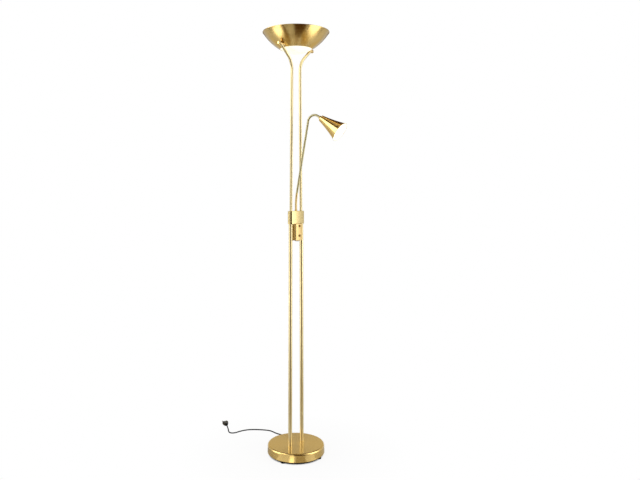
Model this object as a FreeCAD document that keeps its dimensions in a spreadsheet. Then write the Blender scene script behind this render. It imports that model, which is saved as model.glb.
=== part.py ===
import FreeCAD, Part
import math
import os
import re
import Sketcher
from FreeCAD import Vector

# A torchiere on two slender poles with a tilting uplight bowl and a reading light on a gooseneck.
# The origin is the centre of the base on the floor, Z is up, the poles stand on the X axis and
# the push buttons face -Y.  All lengths are millimetres and all angles degrees.  The gooseneck,
# whose links nest ball in cup along one leaning curve, takes the most skill of all the features.

os.makedirs("parts", exist_ok=True)
doc = FreeCAD.newDocument("floor_lamp")
sheet = doc.addObject("Spreadsheet::Sheet", "Dimensions")

sizes = {
    # fits
    "slack": "0.2",  # beside pieces that are dropped into or laid on one another
    "running_fit": "0.05",  # radial, round anything that turns or slides
    "weld": "0.1",  # overlap of features that grow into one another
    # round base
    "base_dia": "243",
    "base_height": "44",
    "base_edge": "7",
    "base_draw": "0.8",  # how far the side draws in towards the top
    "shell_wall": "1.2",
    "foot_height": "10",
    "foot_ring_inset": "13",  # of the ring from the base's edge
    "foot_ring_width": "12",
    "foot_lobe_dia": "20",
    "foot_lobe_inset": "2",  # of the lobes' outer ends from the base's edge
    "foot_lobe_turn": "11",
    "plate_thick": "2",
    "weight_thick": "20",
    "weight_boss_dia": "16",
    "weight_boss_inset": "37.5",  # of the bosses' axes from the base's edge
    "base_screw_dia": "5",
    "base_screw_length": "12",
    "base_screw_head": "2.5",
    "screw_head_share": "0.9",  # head radius over thread diameter
    # fastening of the poles in the base
    "nipple_dia": "10",
    "nipple_bore": "6",
    "nipple_tail": "10",  # of the foot nipples, below the weight
    "nipple_head": "16",  # and inside the poles
    "thread_show": "1.5",  # of the pivot nipples past their nuts
    "foot_nut_flats": "14",
    "foot_nut_thick": "6",
    "foot_washer_dia": "20",
    "foot_washer_thick": "1.5",
    # poles
    "pole_dia": "16",
    "pole_wall": "1",
    "pole_foot_gap": "77.6",  # between the axes on the base
    "pole_block_gap": "71.2",  # between the axes under the coupler
    "upper_dia": "12",
    "upper_wall": "1",
    "upper_block_gap": "66.4",
    "upper_corner_gap": "53",
    "corner_drop": "65",  # from the pivots to where the poles' straight and flared runs would meet
    "flare_radius": "80",
    # coupler
    "block_level": "981",
    "block_height": "55",
    "block_width": "26.5",
    "block_edge": "1.2",
    "socket_depth": "22",
    "set_screw_dia": "4",
    "set_screw_sink": "0.5",
    # bowl pivots
    "pivot_level": "1736",
    "pivot_standoff": "10.4",  # of the barrels from the bowl's side
    "barrel_dia": "15",
    "barrel_length": "12",
    "barrel_edge": "1",
    "ear_nut_thick": "4.5",
    "collar_dia": "14",
    "sleeve_dia": "12.2",
    "washer_dia": "13",
    "washer_thick": "1",
    "knob_dia": "14",
    "knob_length": "9",
    "knob_neck": "2",
    "knob_neck_wall": "1.2",
    "knob_grip": "4",  # of the knob's thread on the nipple, beyond its neck
    "knob_round": "2.5",
    "knob_edge": "0.5",
    # uplight bowl
    "bowl_dia": "286",
    "bowl_mouth_dia": "136",
    "bowl_drop": "9",  # of the bowl's mouth below the pivots
    "bowl_depth": "73",
    "bowl_curve": "217.5",
    "bowl_wall": "1.2",
    "rim_bead": "1.5",
    # opal glass
    "glass_wall": "3",
    "glass_drop": "19",
    "glass_inset": "2.5",  # of the dome inside the bowl's mouth
    "glass_lip_thick": "1.6",
    "glass_lip_inset": "0.95",
    "glass_lip_flare": "1.8",
    # lamp inside the bowl
    "ear_inset": "10",  # of the bracket's ears inside the bowl's mouth
    "ear_drop": "8",  # of the ears below the pivots
    "strip_thick": "2",
    "strip_width": "16",
    "strip_rise": "8.5",  # of the bracket's underside over the pivots
    "lamp_overhang": "0.8",  # of the lamp over the ears
    "lamp_dia": "10",
    "lamp_pinch_dia": "6.8",
    "lamp_pinch_length": "15",  # with the ceramic end
    "lamp_cap_length": "10",  # of the ceramic ends
    "lamp_cap_dia": "7.6",
    "lamp_pin_dia": "4",
    "lamp_pin_length": "4",
    "lamp_rise": "10",  # from the strip to the lamp's axis
    "holder_length": "10",
    "holder_width": "15",
    "holder_rise": "1",  # of the stops over the lamp
    "holder_drop": "1.5",  # of the shelves under it
    # control housing
    "house_height": "70",
    "house_width": "47",
    "house_front": "19.5",
    "house_back": "3",
    "house_corner": "5",
    "house_wall": "1.6",
    "wire_hole_dia": "8",
    "wire_hole_inset": "2",  # in front of the poles' plane
    "bush_dia": "20",
    "bush_neck_dia": "10",
    "bush_bore": "5",
    "bush_edge": "1.5",
    "bush_height": "3.5",
    "button_dia": "10.5",
    "button_stand": "2.4",
    "button_travel": "2",
    "button_drop": "9",  # from the coupler to the upper button's axis
    "button_pitch": "41",
    "button_gap": "0.25",  # round a button in its hole
    "button_flange": "1.2",
    "button_lip": "1.3",  # of the flange beyond the button
    "button_edge": "0.8",
    "stem_hold": "4",  # of the stem inside the switch
    "stem_dia": "4",
    "switch_width": "12",
    "switch_depth": "8",
    "board_thick": "1.6",
    "board_width": "28",
    "board_height": "60",
    "cover_thick": "2",
    "cover_rib_width": "16",
    "cover_rib_thick": "2",
    "rib_low_inset": "15",
    "rib_top_inset": "17",
    "cover_screw_dia": "3",
    "cover_post_dia": "5.6",
    "cover_screw_length": "9",
    "cover_screw_head": "1.6",
    "cover_post_reach": "18",
    "cover_post_inset": "9",  # of the posts from the housing's ends
    "cover_post_cap": "4",  # of solid post in front of the screw's hole
    "house_screw_dia": "4",
    "house_screw_length": "9",
    "house_screw_head": "2.4",
    "house_screw_reach": "15",
    "house_screw_inset": "6",  # in front of the poles' plane
    # gooseneck
    "arm_turn": "-75",  # bearing of the arm's plane from +X
    "neck_dia": "9.5",
    "neck_bore": "5",
    "arm_rise": "26",
    "arm_sweep": "300",
    "arm_lean": "9.8",
    "arm_straight": "309",
    "crook_radius": "29.3",
    "crook_turn": "116",
    "arm_tail": "15.5",
    "ball_gap": "0.2",
    "ferrule_dia": "11",
    "ferrule_height": "6",
    "ferrule_edge": "0.6",
    "spigot_dia": "8",
    "spigot_length": "26",
    "neck_nut_flats": "12",
    "neck_nut_thick": "5",
    "neck_well_dia": "16",
    # reading head
    "shade_length": "106.5",
    "shade_back_dia": "27.4",
    "shade_mouth_dia": "86",
    "shade_curve": "640",
    "shade_wall": "1",
    "shade_round": "2",
    "shade_bead": "0.9",
    "head_bush_dia": "14",
    "head_bush_length": "9",
    "head_bush_edge": "1",
    "head_bush_floor": "0.8",
    "head_thread_dia": "10",
    "head_thread_length": "9",
    "head_nut_flats": "14",
    "head_nut_thick": "4",
    "reader_holder_dia": "18",
    "reader_holder_length": "17",
    "reader_bulb_dia": "12.5",
    "reader_bulb_length": "38",
    "reader_base_dia": "8.5",
    "reader_base_length": "10",
    "reader_base_depth": "6",  # in the holder
    "reader_shoulder": "14",
    # mains cord
    "cord_dia": "5.2",
    "gland_turn": "65",  # bearing of the cord's outlet from +X
    "gland_level": "18.5",
    "gland_flange_dia": "14",
    "gland_flange_thick": "3",
    "gland_body_dia": "9",
    "gland_body_length": "7.5",
    "gland_nut_flats": "11",
    "gland_nut_thick": "3",
    "relief_length": "24",
    "relief_tip_dia": "6.6",
    "coil_pitch": "5.8",
    "coil_dia": "67.2",
    "coil_x": "115.6",
    "coil_y": "113.4",
    "plug_length": "34",
    "plug_width": "26",
    "plug_thick": "13.6",
    "plug_edge": "2.5",
    "plug_pin_dia": "4",
    "plug_pin_length": "19",
    "plug_pin_pitch": "18.6",
    # places that follow from the sizes above
    "foot_ring_dia": "=base_dia - 2 * foot_ring_inset",
    "weight_boss_reach": "=base_dia / 2 - weight_boss_inset",
    "shell_inside": "=base_height - shell_wall",
    "weight_low": "=shell_inside - weight_thick",
    "plate_dia": "=base_dia - 2 * (shell_wall + base_draw + slack)",
    "boss_height": "=weight_low - foot_height - plate_thick",
    "pole_lean": "=(pole_foot_gap - pole_block_gap) / 2 / (block_level - base_height)",
    "block_top": "=block_level + block_height",
    "block_gap": "=(pole_block_gap + upper_block_gap) / 2",
    "socket_reach": "=pole_block_gap / 2 - pole_lean * socket_depth / 2",
    "upper_lean": "=(upper_block_gap - upper_corner_gap) / 2 / (corner_height - block_top)",
    "upper_start": "=upper_block_gap / 2 + upper_lean * socket_depth",
    "upper_low": "=block_top - socket_depth",
    "upper_reach": "=upper_block_gap / 2 + upper_lean * socket_depth / 2",
    "corner_height": "=pivot_level - corner_drop",
    "bowl_level": "=pivot_level - bowl_drop",
    "strip_level": "=pivot_level + strip_rise",
    "bowl_spread": "=(bowl_dia - bowl_mouth_dia) / 2",
    "bowl_chord": "=sqrt(bowl_spread ^ 2 + bowl_depth ^ 2)",
    "bowl_rise": "=sqrt(bowl_curve ^ 2 - bowl_chord ^ 2 / 4)",
    "bowl_centre_r": "=(bowl_dia + bowl_mouth_dia) / 4 - bowl_rise * bowl_depth / bowl_chord",
    "bowl_centre_z": "=bowl_level + bowl_depth / 2 + bowl_rise * bowl_spread / bowl_chord",
    "bowl_side": "=bowl_centre_r + sqrt(bowl_curve ^ 2 - (bowl_centre_z - pivot_level) ^ 2)",
    "barrel_reach": "=bowl_side + pivot_standoff + barrel_length / 2",
    "upper_angle": "=atan(upper_lean)",
    "flare_angle": "=atan((barrel_reach - upper_corner_gap / 2) / (pivot_level - corner_height))",
    "flare_run": "=flare_radius * tan((flare_angle + upper_angle) / 2)",
    "flare_in_x": "=upper_corner_gap / 2 + flare_run * sin(upper_angle)",
    "flare_in_z": "=corner_height - flare_run * cos(upper_angle)",
    "flare_out_x": "=upper_corner_gap / 2 + flare_run * sin(flare_angle)",
    "flare_out_z": "=corner_height + flare_run * cos(flare_angle)",
    "bowl_rim": "=bowl_level + bowl_depth",
    "mouth_step": "=bowl_wall * 0.4",  # rise of the wall's inner edge at the mouth
    "barrel_in": "=barrel_reach - barrel_length / 2",
    "barrel_out": "=barrel_reach + barrel_length / 2",
    "nipple_end": "=barrel_out + washer_thick + knob_neck + knob_grip",
    "glass_dia": "=bowl_mouth_dia - 2 * glass_inset",
    "glass_lip_dia": "=bowl_mouth_dia - 2 * glass_lip_inset",
    "ear_reach": "=bowl_mouth_dia / 2 - ear_inset",
    "nipple_in": "=ear_reach - ear_nut_thick - thread_show",
    "lamp_length": "=2 * (ear_reach + lamp_overhang)",
    "glass_low": "=bowl_level - glass_drop",
    "glass_seat": "=bowl_level + 1",
    "glass_curve": "=((glass_dia / 2) ^ 2 + glass_drop ^ 2) / (2 * glass_drop)",
    "lamp_level": "=strip_level + strip_thick + lamp_rise",
    "holder_top": "=lamp_level + lamp_dia / 2 + holder_rise",
    "holder_shelf": "=lamp_level - lamp_dia / 2 - holder_drop",
    "house_low": "=block_level - house_height",
    "upper_button": "=block_level - button_drop",
    "lower_button": "=upper_button - button_pitch",
    "house_inside": "=house_front - house_wall",
    "post_length": "=house_inside + house_back - cover_thick - slack",
    "switch_front": "=house_inside - slack - button_flange - button_travel - 1",
    "board_front": "=switch_front - switch_depth",
    "rise_top": "=block_top + arm_rise",
    "bend1_s": "=arm_sweep * (1 - cos(arm_lean))",
    "bend1_z": "=rise_top + arm_sweep * sin(arm_lean)",
    "bend2_s": "=bend1_s + arm_straight / 2 * sin(arm_lean)",
    "bend2_z": "=bend1_z + arm_straight / 2 * cos(arm_lean)",
    "bend3_s": "=bend1_s + arm_straight * sin(arm_lean)",
    "bend3_z": "=bend1_z + arm_straight * cos(arm_lean)",
    "crook_s": "=bend3_s + crook_radius * cos(arm_lean)",
    "crook_z": "=bend3_z - crook_radius * sin(arm_lean)",
    "bend4_s": "=crook_s - crook_radius * cos(arm_lean + crook_turn / 2)",
    "bend4_z": "=crook_z + crook_radius * sin(arm_lean + crook_turn / 2)",
    "head_tilt": "=arm_lean + crook_turn",  # of the head's axis from +Z
    "head_s": "=crook_s - crook_radius * cos(head_tilt) + arm_tail * sin(head_tilt)",
    "head_z": "=crook_z + crook_radius * sin(head_tilt) + arm_tail * cos(head_tilt)",
    "half_crook_x": "=crook_radius * (1 - cos(crook_turn / 2))",
    "half_crook_z": "=crook_radius * sin(crook_turn / 2)",
    "bulb_base": "=head_thread_length + reader_holder_length - reader_base_depth + slack",
    "plug_waist": "=plug_length * 0.55",
}
for row, (alias, text) in enumerate(sizes.items(), 1):
    sheet.set(f"A{row}", alias)
    sheet.set(f"B{row}", text)
    sheet.setAlias(f"B{row}", alias)
doc.recompute()

parts = []


def number(words):
    return float(sheet.evalExpression(words))


def bound(words):
    """The same words with each alias given its sheet's name."""
    return re.sub(r"\b([a-z]\w*)\b(?!\()", r"Dimensions.\1", words)


def bind(thing, **words):
    for name, text in words.items():
        thing.setExpression(name, bound(text))


def place(thing, base=("0", "0", "0"), turn=("0", "0", "0")):
    """Put a piece, or an attached feature in its plane, at base turned by yaw, pitch and roll."""
    text = f"placement(vector({'; '.join(base)}); rotation({'; '.join(turn)}))"
    attached = getattr(thing, "MapMode", "Deactivated") != "Deactivated"
    thing.setExpression("AttachmentOffset" if attached else "Placement", bound(text))


def keep(thing, label):
    thing.Label = label
    parts.append(thing)
    return thing


def newBody(label):
    return keep(doc.addObject("PartDesign::Body", label), label)


def attach(feature, body, role, base=("0", "0", "0"), turn=("0", "0", "0")):
    origin = [f for f in body.Origin.OriginFeatures if f.Role == role]
    feature.AttachmentSupport = [(origin[0], "")]
    feature.MapMode = "FlatFace"
    place(feature, base, turn)


def newSketch(body, role, base=("0", "0", "0"), turn=("0", "0", "0")):
    sketch = body.newObject("Sketcher::SketchObject", body.Name + "_sketch")
    attach(sketch, body, role, base, turn)
    return sketch


def pin(sketch, geometry, position, x, y):
    """Hold a point of the sketch at x, y, both in words."""
    for kind, words, axis in (("DistanceX", x, -2), ("DistanceY", y, -1)):
        if words == "0":
            sketch.addConstraint(Sketcher.Constraint("PointOnObject", geometry, position, axis))
            continue
        rule = Sketcher.Constraint(kind, -1, 1, geometry, position, number(words))
        index = sketch.addConstraint(rule)
        sketch.setExpression(f"Constraints[{index}]", bound(words))


def circle(sketch, radius, x="0", y="0"):
    centre = Vector(number(x), number(y), 0)
    index = sketch.addGeometry(Part.Circle(centre, Vector(0, 0, 1), number(radius)), False)
    pin(sketch, index, 3, x, y)
    rule = sketch.addConstraint(Sketcher.Constraint("Radius", index, number(radius)))
    sketch.setExpression(f"Constraints[{rule}]", bound(radius))


def outline(sketch, corners, closed=True):
    """Straight lines and arcs through corners (x, y) or (x, y, radius).

    A radius belongs to the arc that ends at its corner: to the left with "+" and to the
    right with "-" in front of it.
    """
    spots = [Vector(number(c[0]), number(c[1]), 0) for c in corners]
    count = len(corners) if closed else len(corners) - 1
    spans = []
    for i in range(count):
        j = (i + 1) % len(corners)
        a, b = spots[i], spots[j]
        if len(corners[j]) == 2:
            spans.append((sketch.addGeometry(Part.LineSegment(a, b), False), 1, 2))
            continue
        left = corners[j][2][0] == "+"
        words = corners[j][2][1:]
        radius = number(words)
        chord = b - a
        side = Vector(-chord.y, chord.x, 0).normalize() * (1 if left else -1)
        middle = (a + b) / 2 + side * math.sqrt(max(radius**2 - chord.Length**2 / 4, 0))
        first, last = (a, b) if left else (b, a)
        start = math.atan2(first.y - middle.y, first.x - middle.x)
        end = math.atan2(last.y - middle.y, last.x - middle.x)
        if end < start:
            end += 2 * math.pi
        arc = Part.ArcOfCircle(Part.Circle(middle, Vector(0, 0, 1), radius), start, end)
        index = sketch.addGeometry(arc, False)
        rule = sketch.addConstraint(Sketcher.Constraint("Radius", index, radius))
        sketch.setExpression(f"Constraints[{rule}]", bound(words))
        spans.append((index, 1, 2) if left else (index, 2, 1))
    for i, (index, start, end) in enumerate(spans):
        pin(sketch, index, start, corners[i][0], corners[i][1])
        following = spans[(i + 1) % count]
        if closed or i + 1 < count:
            rule = Sketcher.Constraint("Coincident", index, end, following[0], following[1])
            sketch.addConstraint(rule)
        else:
            pin(sketch, index, end, corners[-1][0], corners[-1][1])


def pad(body, sketch, length, kind="PartDesign::Pad"):
    feature = body.newObject(kind, body.Name + "_pad")
    feature.Profile = sketch
    bind(feature, Length=length)
    return feature


def turned(body, corners):
    """Turn an outline of radii and heights about the body's Z axis."""
    sketch = newSketch(body, "XZ_Plane")
    outline(sketch, corners)
    feature = body.newObject("PartDesign::Revolution", body.Name + "_turned")
    feature.Profile = sketch
    feature.ReferenceAxis = (sketch, ["V_Axis"])
    feature.Angle = 360
    return feature


def primitive(body, kind, base=("0", "0", "0"), turn=("0", "0", "0"), **words):
    feature = body.newObject(f"PartDesign::{kind}", body.Name + "_" + kind.lower())
    attach(feature, body, "XY_Plane", base, turn)
    bind(feature, **words)
    return feature


def ringed(body, feature, count):
    """Repeat a feature evenly about Z."""
    pattern = body.newObject("PartDesign::PolarPattern", body.Name + "_ring")
    pattern.Originals = [feature]
    axis = [f for f in body.Origin.OriginFeatures if f.Role == "Z_Axis"]
    pattern.Axis = (axis[0], [""])
    pattern.Angle = 360
    pattern.Occurrences = count
    body.Tip = pattern
    return pattern


def mirrored(thing, label):
    copy = doc.addObject("Part::Mirroring", label)
    copy.Source = thing
    copy.Normal = Vector(1, 0, 0)
    return keep(copy, label)


def paired(thing, label):
    """One node of two alike pieces, the second mirrored across the YZ plane."""
    parts.remove(thing)
    copy = doc.addObject("Part::Mirroring", label + "_other")
    copy.Source = thing
    copy.Normal = Vector(1, 0, 0)
    both = doc.addObject("Part::Compound", label)
    both.Links = [thing, copy]
    return keep(both, label)


def hexNut(label, flats, thick, bore, low="0"):
    """A nut about Z whose flats lie across Y."""
    body = newBody(label)
    sketch = newSketch(body, "XY_Plane", ("0", "0", low))
    corner = f"({flats}) / 2 / cos(30)"
    half = f"({flats}) / 2 * tan(30)"
    across = f"({flats}) / 2"
    outline(sketch, [
        (corner, "0"), (half, across), (f"-({half})", across),
        (f"-({corner})", "0"), (f"-({half})", f"-{across}"), (half, f"-{across}"),
    ])
    circle(sketch, bore)
    pad(body, sketch, thick)
    return body


# ---- base: spun shell, cast weight, bottom plate and rubber foot ring

shell = newBody("base_shell")
turned(shell, [
    ("base_dia / 2 - shell_wall", "foot_height"),
    ("base_dia / 2", "foot_height"),
    ("base_dia / 2 - base_draw", "base_height - base_edge"),
    ("base_dia / 2 - base_draw - base_edge", "base_height", "+base_edge"),
    ("0", "base_height"),
    ("0", "shell_inside"),
    ("base_dia / 2 - base_draw - base_edge", "shell_inside"),
    ("base_dia / 2 - base_draw - shell_wall", "base_height - base_edge", "-base_edge - shell_wall"),
])
for side in ("", "-"):
    primitive(
        shell, "SubtractiveCylinder",
        (f"{side}pole_foot_gap / 2", "0", "shell_inside - 1"),
        Radius="nipple_dia / 2 + slack", Height="shell_wall + 2",
    )
primitive(
    shell, "SubtractiveCylinder", (
        "(base_dia / 2 - gland_body_length) * cos(gland_turn)",
        "(base_dia / 2 - gland_body_length) * sin(gland_turn)",
        "gland_level",
    ),
    ("gland_turn", "90", "0"),
    Radius="gland_body_dia / 2 + slack", Height="2 * gland_body_length",
)

weight = newBody("base_weight")
edge = "base_dia / 2 - base_draw - base_edge"
turned(weight, [
    ("0", "weight_low"),
    (edge, "weight_low"),
    (edge, "shell_inside - slack"),
    ("0", "shell_inside - slack"),
])
sketch = newSketch(weight, "XY_Plane", ("0", "0", "foot_height + plate_thick"))
circle(sketch, "weight_boss_dia / 2", "0", "weight_boss_reach")
boss = pad(weight, sketch, "boss_height + 1")
ringed(weight, boss, 3)
sketch = newSketch(weight, "XY_Plane", ("0", "0", "foot_height + plate_thick"))
circle(sketch, "base_screw_dia / 2", "0", "weight_boss_reach")
hole = pad(weight, sketch, "base_screw_length", "PartDesign::Pocket")
hole.Reversed = True
ringed(weight, hole, 3)
for side in ("", "-"):
    primitive(
        weight, "SubtractiveCylinder",
        (f"{side}pole_foot_gap / 2", "0", "weight_low - 1"),
        Radius="nipple_dia / 2 + slack", Height="weight_thick + 2",
    )

plate = newBody("base_plate")
sketch = newSketch(plate, "XY_Plane", ("0", "0", "foot_height"))
circle(sketch, "plate_dia / 2")
pad(plate, sketch, "plate_thick - slack / 2")
sketch = newSketch(plate, "XY_Plane", ("0", "0", "foot_height"))
circle(sketch, "base_screw_dia / 2 + slack", "0", "weight_boss_reach")
hole = pad(plate, sketch, "plate_thick", "PartDesign::Pocket")
hole.Reversed = True
ringed(plate, hole, 3)

screws = newBody("base_screws")
sketch = newSketch(screws, "XY_Plane", ("0", "0", "foot_height - slack / 2 - base_screw_head"))
circle(sketch, "base_screw_dia * screw_head_share", "0", "weight_boss_reach")
head = pad(screws, sketch, "base_screw_head")
ringed(screws, head, 3)
sketch = newSketch(screws, "XY_Plane", ("0", "0", "foot_height - slack"))
circle(sketch, "base_screw_dia / 2 - running_fit", "0", "weight_boss_reach")
shank = pad(screws, sketch, "base_screw_length")
ringed(screws, shank, 3)

ring = newBody("foot_ring")
sketch = newSketch(ring, "XY_Plane")
circle(sketch, "foot_ring_dia / 2")
pad(ring, sketch, "foot_height")
sketch = newSketch(ring, "XY_Plane")
circle(
    sketch, "foot_lobe_dia / 2",
    "(base_dia / 2 - foot_lobe_inset - foot_lobe_dia / 2) * cos(foot_lobe_turn)",
    "(base_dia / 2 - foot_lobe_inset - foot_lobe_dia / 2) * sin(foot_lobe_turn)",
)
lobe = pad(ring, sketch, "foot_height")
ringed(ring, lobe, 4)
sketch = newSketch(ring, "XY_Plane")
circle(sketch, "foot_ring_dia / 2 - foot_ring_width")
pad(ring, sketch, "foot_height", "PartDesign::Pocket").Reversed = True

# ---- lower poles, each clamped to the base by a hollow threaded nipple

pole = newBody("lower_pole_right")
sketch = newSketch(pole, "XY_Plane", ("pole_foot_gap / 2", "0", "base_height"))
circle(sketch, "pole_dia / 2")
circle(sketch, "pole_dia / 2 - pole_wall")
feature = pad(pole, sketch, "block_level - base_height + socket_depth")
feature.UseCustomVector = True
feature.AlongSketchNormal = True
feature.Direction = Vector(0, 0, 1)
feature.setExpression("Direction.x", bound("-pole_lean"))
mirrored(pole, "lower_pole_left")

nipple = newBody("foot_nipple_right")
turned(nipple, [
    ("nipple_bore / 2", "weight_low - nipple_tail"),
    ("nipple_dia / 2", "weight_low - nipple_tail"),
    ("nipple_dia / 2", "base_height + running_fit"),
    ("pole_dia / 2 - pole_wall - slack", "base_height + running_fit"),
    ("pole_dia / 2 - pole_wall - slack", "base_height + nipple_head"),
    ("nipple_bore / 2", "base_height + nipple_head"),
])
place(nipple, ("pole_foot_gap / 2", "0", "0"))
paired(nipple, "foot_nipples")

washer = newBody("foot_washer_right")
turned(washer, [
    ("nipple_dia / 2 + running_fit", "weight_low - slack / 2 - foot_washer_thick"),
    ("foot_washer_dia / 2", "weight_low - slack / 2 - foot_washer_thick"),
    ("foot_washer_dia / 2", "weight_low - slack / 2"),
    ("nipple_dia / 2 + running_fit", "weight_low - slack / 2"),
])
place(washer, ("pole_foot_gap / 2", "0", "0"))
paired(washer, "foot_washers")

nut = hexNut(
    "foot_nut_right", "foot_nut_flats", "foot_nut_thick", "nipple_dia / 2 + running_fit",
    "weight_low - slack - foot_washer_thick - foot_nut_thick",
)
place(nut, ("pole_foot_gap / 2", "0", "0"))
paired(nut, "foot_nuts")

# ---- coupler: a block with rounded ends that joins the lower poles to the upper ones

block = newBody("coupler_block")
sketch = newSketch(block, "XY_Plane", ("0", "0", "block_level"))
end = "block_gap / 2"
half = "block_width / 2"
outline(sketch, [
    (end, f"-{half}"),
    (f"{end} + {half}", "0", f"+{half}"),
    (end, half, f"+{half}"),
    (f"-{end}", half),
    (f"-({end} + {half})", "0", f"+{half}"),
    (f"-{end}", f"-{half}", f"+{half}"),
])
blank = pad(block, sketch, "block_height")
doc.recompute()
rims = [f"Edge{i}" for i, e in enumerate(block.Shape.Edges, 1) if e.BoundBox.ZLength < 0.01]
fillet = block.newObject("PartDesign::Fillet", "coupler_edges")
fillet.Base = (blank, rims)
bind(fillet, Radius="block_edge")
sockets = [
    ("socket_reach", "block_level", "pole_dia", "block_level + socket_depth / 2"),
    ("upper_reach", "upper_low - slack", "upper_dia", "block_top - socket_depth / 2"),
]
for side in ("", "-"):
    for socketReach, socketLow, tubeDia, screwLevel in sockets:
        primitive(
            block, "SubtractiveCylinder", (f"{side}{socketReach}", "0", socketLow),
            Radius=f"{tubeDia} / 2 + slack", Height="socket_depth + slack",
        )
        primitive(
            block, "SubtractiveCylinder",
            (f"{side}{socketReach}", "block_width / 2 + 1", screwLevel),
            ("0", "0", "90"),
            Radius="set_screw_dia / 2 + running_fit", Height="block_width / 2",
        )
    primitive(
        block, "SubtractiveCylinder", (f"{side}house_screw_reach", "-house_screw_inset", "block_level"),
        Radius="house_screw_dia / 2 + running_fit", Height="house_screw_length",
    )
primitive(
    block, "SubtractiveCylinder", ("0", "0", "block_level"),
    Radius="spigot_dia / 2 + running_fit", Height="block_height",
)
primitive(
    block, "SubtractiveCylinder", ("0", "0", "block_level"),
    Radius="neck_well_dia / 2", Height="block_height - spigot_length + neck_nut_thick + 2 * slack",
)

for name, (socketReach, socketLow, tubeDia, screwLevel) in zip(("lower", "upper"), sockets):
    grub = newBody(f"{name}_set_screw")
    length = f"block_width / 2 - set_screw_sink - {tubeDia} / 2 - slack / 2"
    turned(grub, [
        ("0", "0"), ("set_screw_dia / 2", "0"), ("set_screw_dia / 2", length), ("0", length),
    ])
    place(grub, (socketReach, "block_width / 2 - set_screw_sink", screwLevel), ("0", "0", "90"))
    paired(grub, f"{name}_set_screws")

# ---- upper poles, which lean together and then flare out to the bowl's pivots

upper = newBody("upper_pole_right")
section = newSketch(upper, "XY_Plane", ("upper_start", "0", "upper_low"))
circle(section, "upper_dia / 2")
circle(section, "upper_dia / 2 - upper_wall")
route = newSketch(upper, "XZ_Plane")
outline(route, [
    ("upper_start", "upper_low"),
    ("flare_in_x", "flare_in_z"),
    ("flare_out_x", "flare_out_z", "-flare_radius"),
    ("barrel_reach", "pivot_level"),
], closed=False)
pipe = upper.newObject("PartDesign::AdditivePipe", "upper_pole_tube")
pipe.Profile = section
pipe.Spine = (route, [])
primitive(
    upper, "SubtractiveCylinder", ("barrel_in - upper_dia", "0", "pivot_level"), ("0", "90", "0"),
    Radius="barrel_dia / 2", Height="barrel_length + 2 * upper_dia",
)
mirrored(upper, "upper_pole_left")

barrel = newBody("pivot_barrel_right")
turned(barrel, [
    ("nipple_dia / 2 + running_fit", "-barrel_length / 2"),
    ("barrel_dia / 2 - barrel_edge", "-barrel_length / 2"),
    ("barrel_dia / 2", "-barrel_length / 2 + barrel_edge"),
    ("barrel_dia / 2", "barrel_length / 2 - barrel_edge"),
    ("barrel_dia / 2 - barrel_edge", "barrel_length / 2"),
    ("nipple_dia / 2 + running_fit", "barrel_length / 2"),
])
place(barrel, ("barrel_reach", "0", "pivot_level"), ("0", "90", "0"))
mirrored(barrel, "pivot_barrel_left")

# ---- uplight bowl, spun from sheet, with an opal glass dome in its open bottom


def bowlOutline(body, inner):
    """The bowl's wall, or with inner False the solid that its outside encloses."""
    corners = [
        ("bowl_mouth_dia / 2", "bowl_level"),
        ("bowl_dia / 2", "bowl_rim", "+bowl_curve"),
    ]
    if inner:
        corners += [
            ("bowl_dia / 2 - bowl_wall", "bowl_rim"),
            ("bowl_mouth_dia / 2 - bowl_wall", "bowl_level + mouth_step", "-bowl_curve - bowl_wall"),
        ]
    else:
        corners += [("0", "bowl_rim"), ("0", "bowl_level")]
    return turned(body, corners)


bowl = newBody("bowl_shell")
bowlOutline(bowl, True)
primitive(
    bowl, "AdditiveTorus", ("0", "0", "bowl_rim - rim_bead"),
    Radius1="bowl_dia / 2 - rim_bead", Radius2="rim_bead",
)
for side in ("0", "180"):
    primitive(
        bowl, "SubtractiveCylinder", ("0", "0", "pivot_level"), (side, "90", "0"),
        Radius="nipple_dia / 2 + running_fit", Height="barrel_in",
    )
envelope = doc.addObject("PartDesign::Body", "bowl_envelope")
bowlOutline(envelope, False)

glass = newBody("glass_dome")
turned(glass, [
    ("0", "glass_low"),
    ("glass_dia / 2", "bowl_level", "+glass_curve"),
    ("glass_dia / 2", "glass_seat"),
    ("glass_lip_dia / 2", "glass_seat"),
    ("glass_lip_dia / 2 + glass_lip_flare", "glass_seat + glass_lip_thick"),
    ("glass_dia / 2 - glass_wall", "glass_seat + glass_lip_thick"),
    ("glass_dia / 2 - glass_wall", "bowl_level"),
    ("0", "glass_low + glass_wall", "-glass_curve - glass_wall"),
])


def cylinderAlongX(name, radius, low, high):
    tube = doc.addObject("Part::Cylinder", name)
    bind(tube, Radius=radius, Height=f"({high}) - ({low})")
    place(tube, (low, "0", "pivot_level"), ("0", "90", "0"))
    return tube


def cut(name, base, tool):
    result = doc.addObject("Part::Cut", name)
    result.Base = base
    result.Tool = tool
    return result


# a collar outside the bowl's wall and a sleeve inside it turn the sloping wall into square seats
blank = cylinderAlongX("collar_blank", "collar_dia / 2", "bowl_side - barrel_length", "barrel_in - slack")
bore = cylinderAlongX("collar_bore", "nipple_dia / 2 + running_fit", "0", "barrel_out")
keep(cut("pivot_collar_right", cut("collar_tube", blank, bore), envelope), "pivot_collar_right")
mirrored(parts[-1], "pivot_collar_left")

nipple = newBody("pivot_nipple_right")
turned(nipple, [
    ("nipple_bore / 2", "nipple_in"),
    ("nipple_dia / 2", "nipple_in"),
    ("nipple_dia / 2", "nipple_end"),
    ("nipple_bore / 2", "nipple_end"),
])
place(nipple, ("0", "0", "pivot_level"), ("0", "90", "0"))
paired(nipple, "pivot_nipples")

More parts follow.
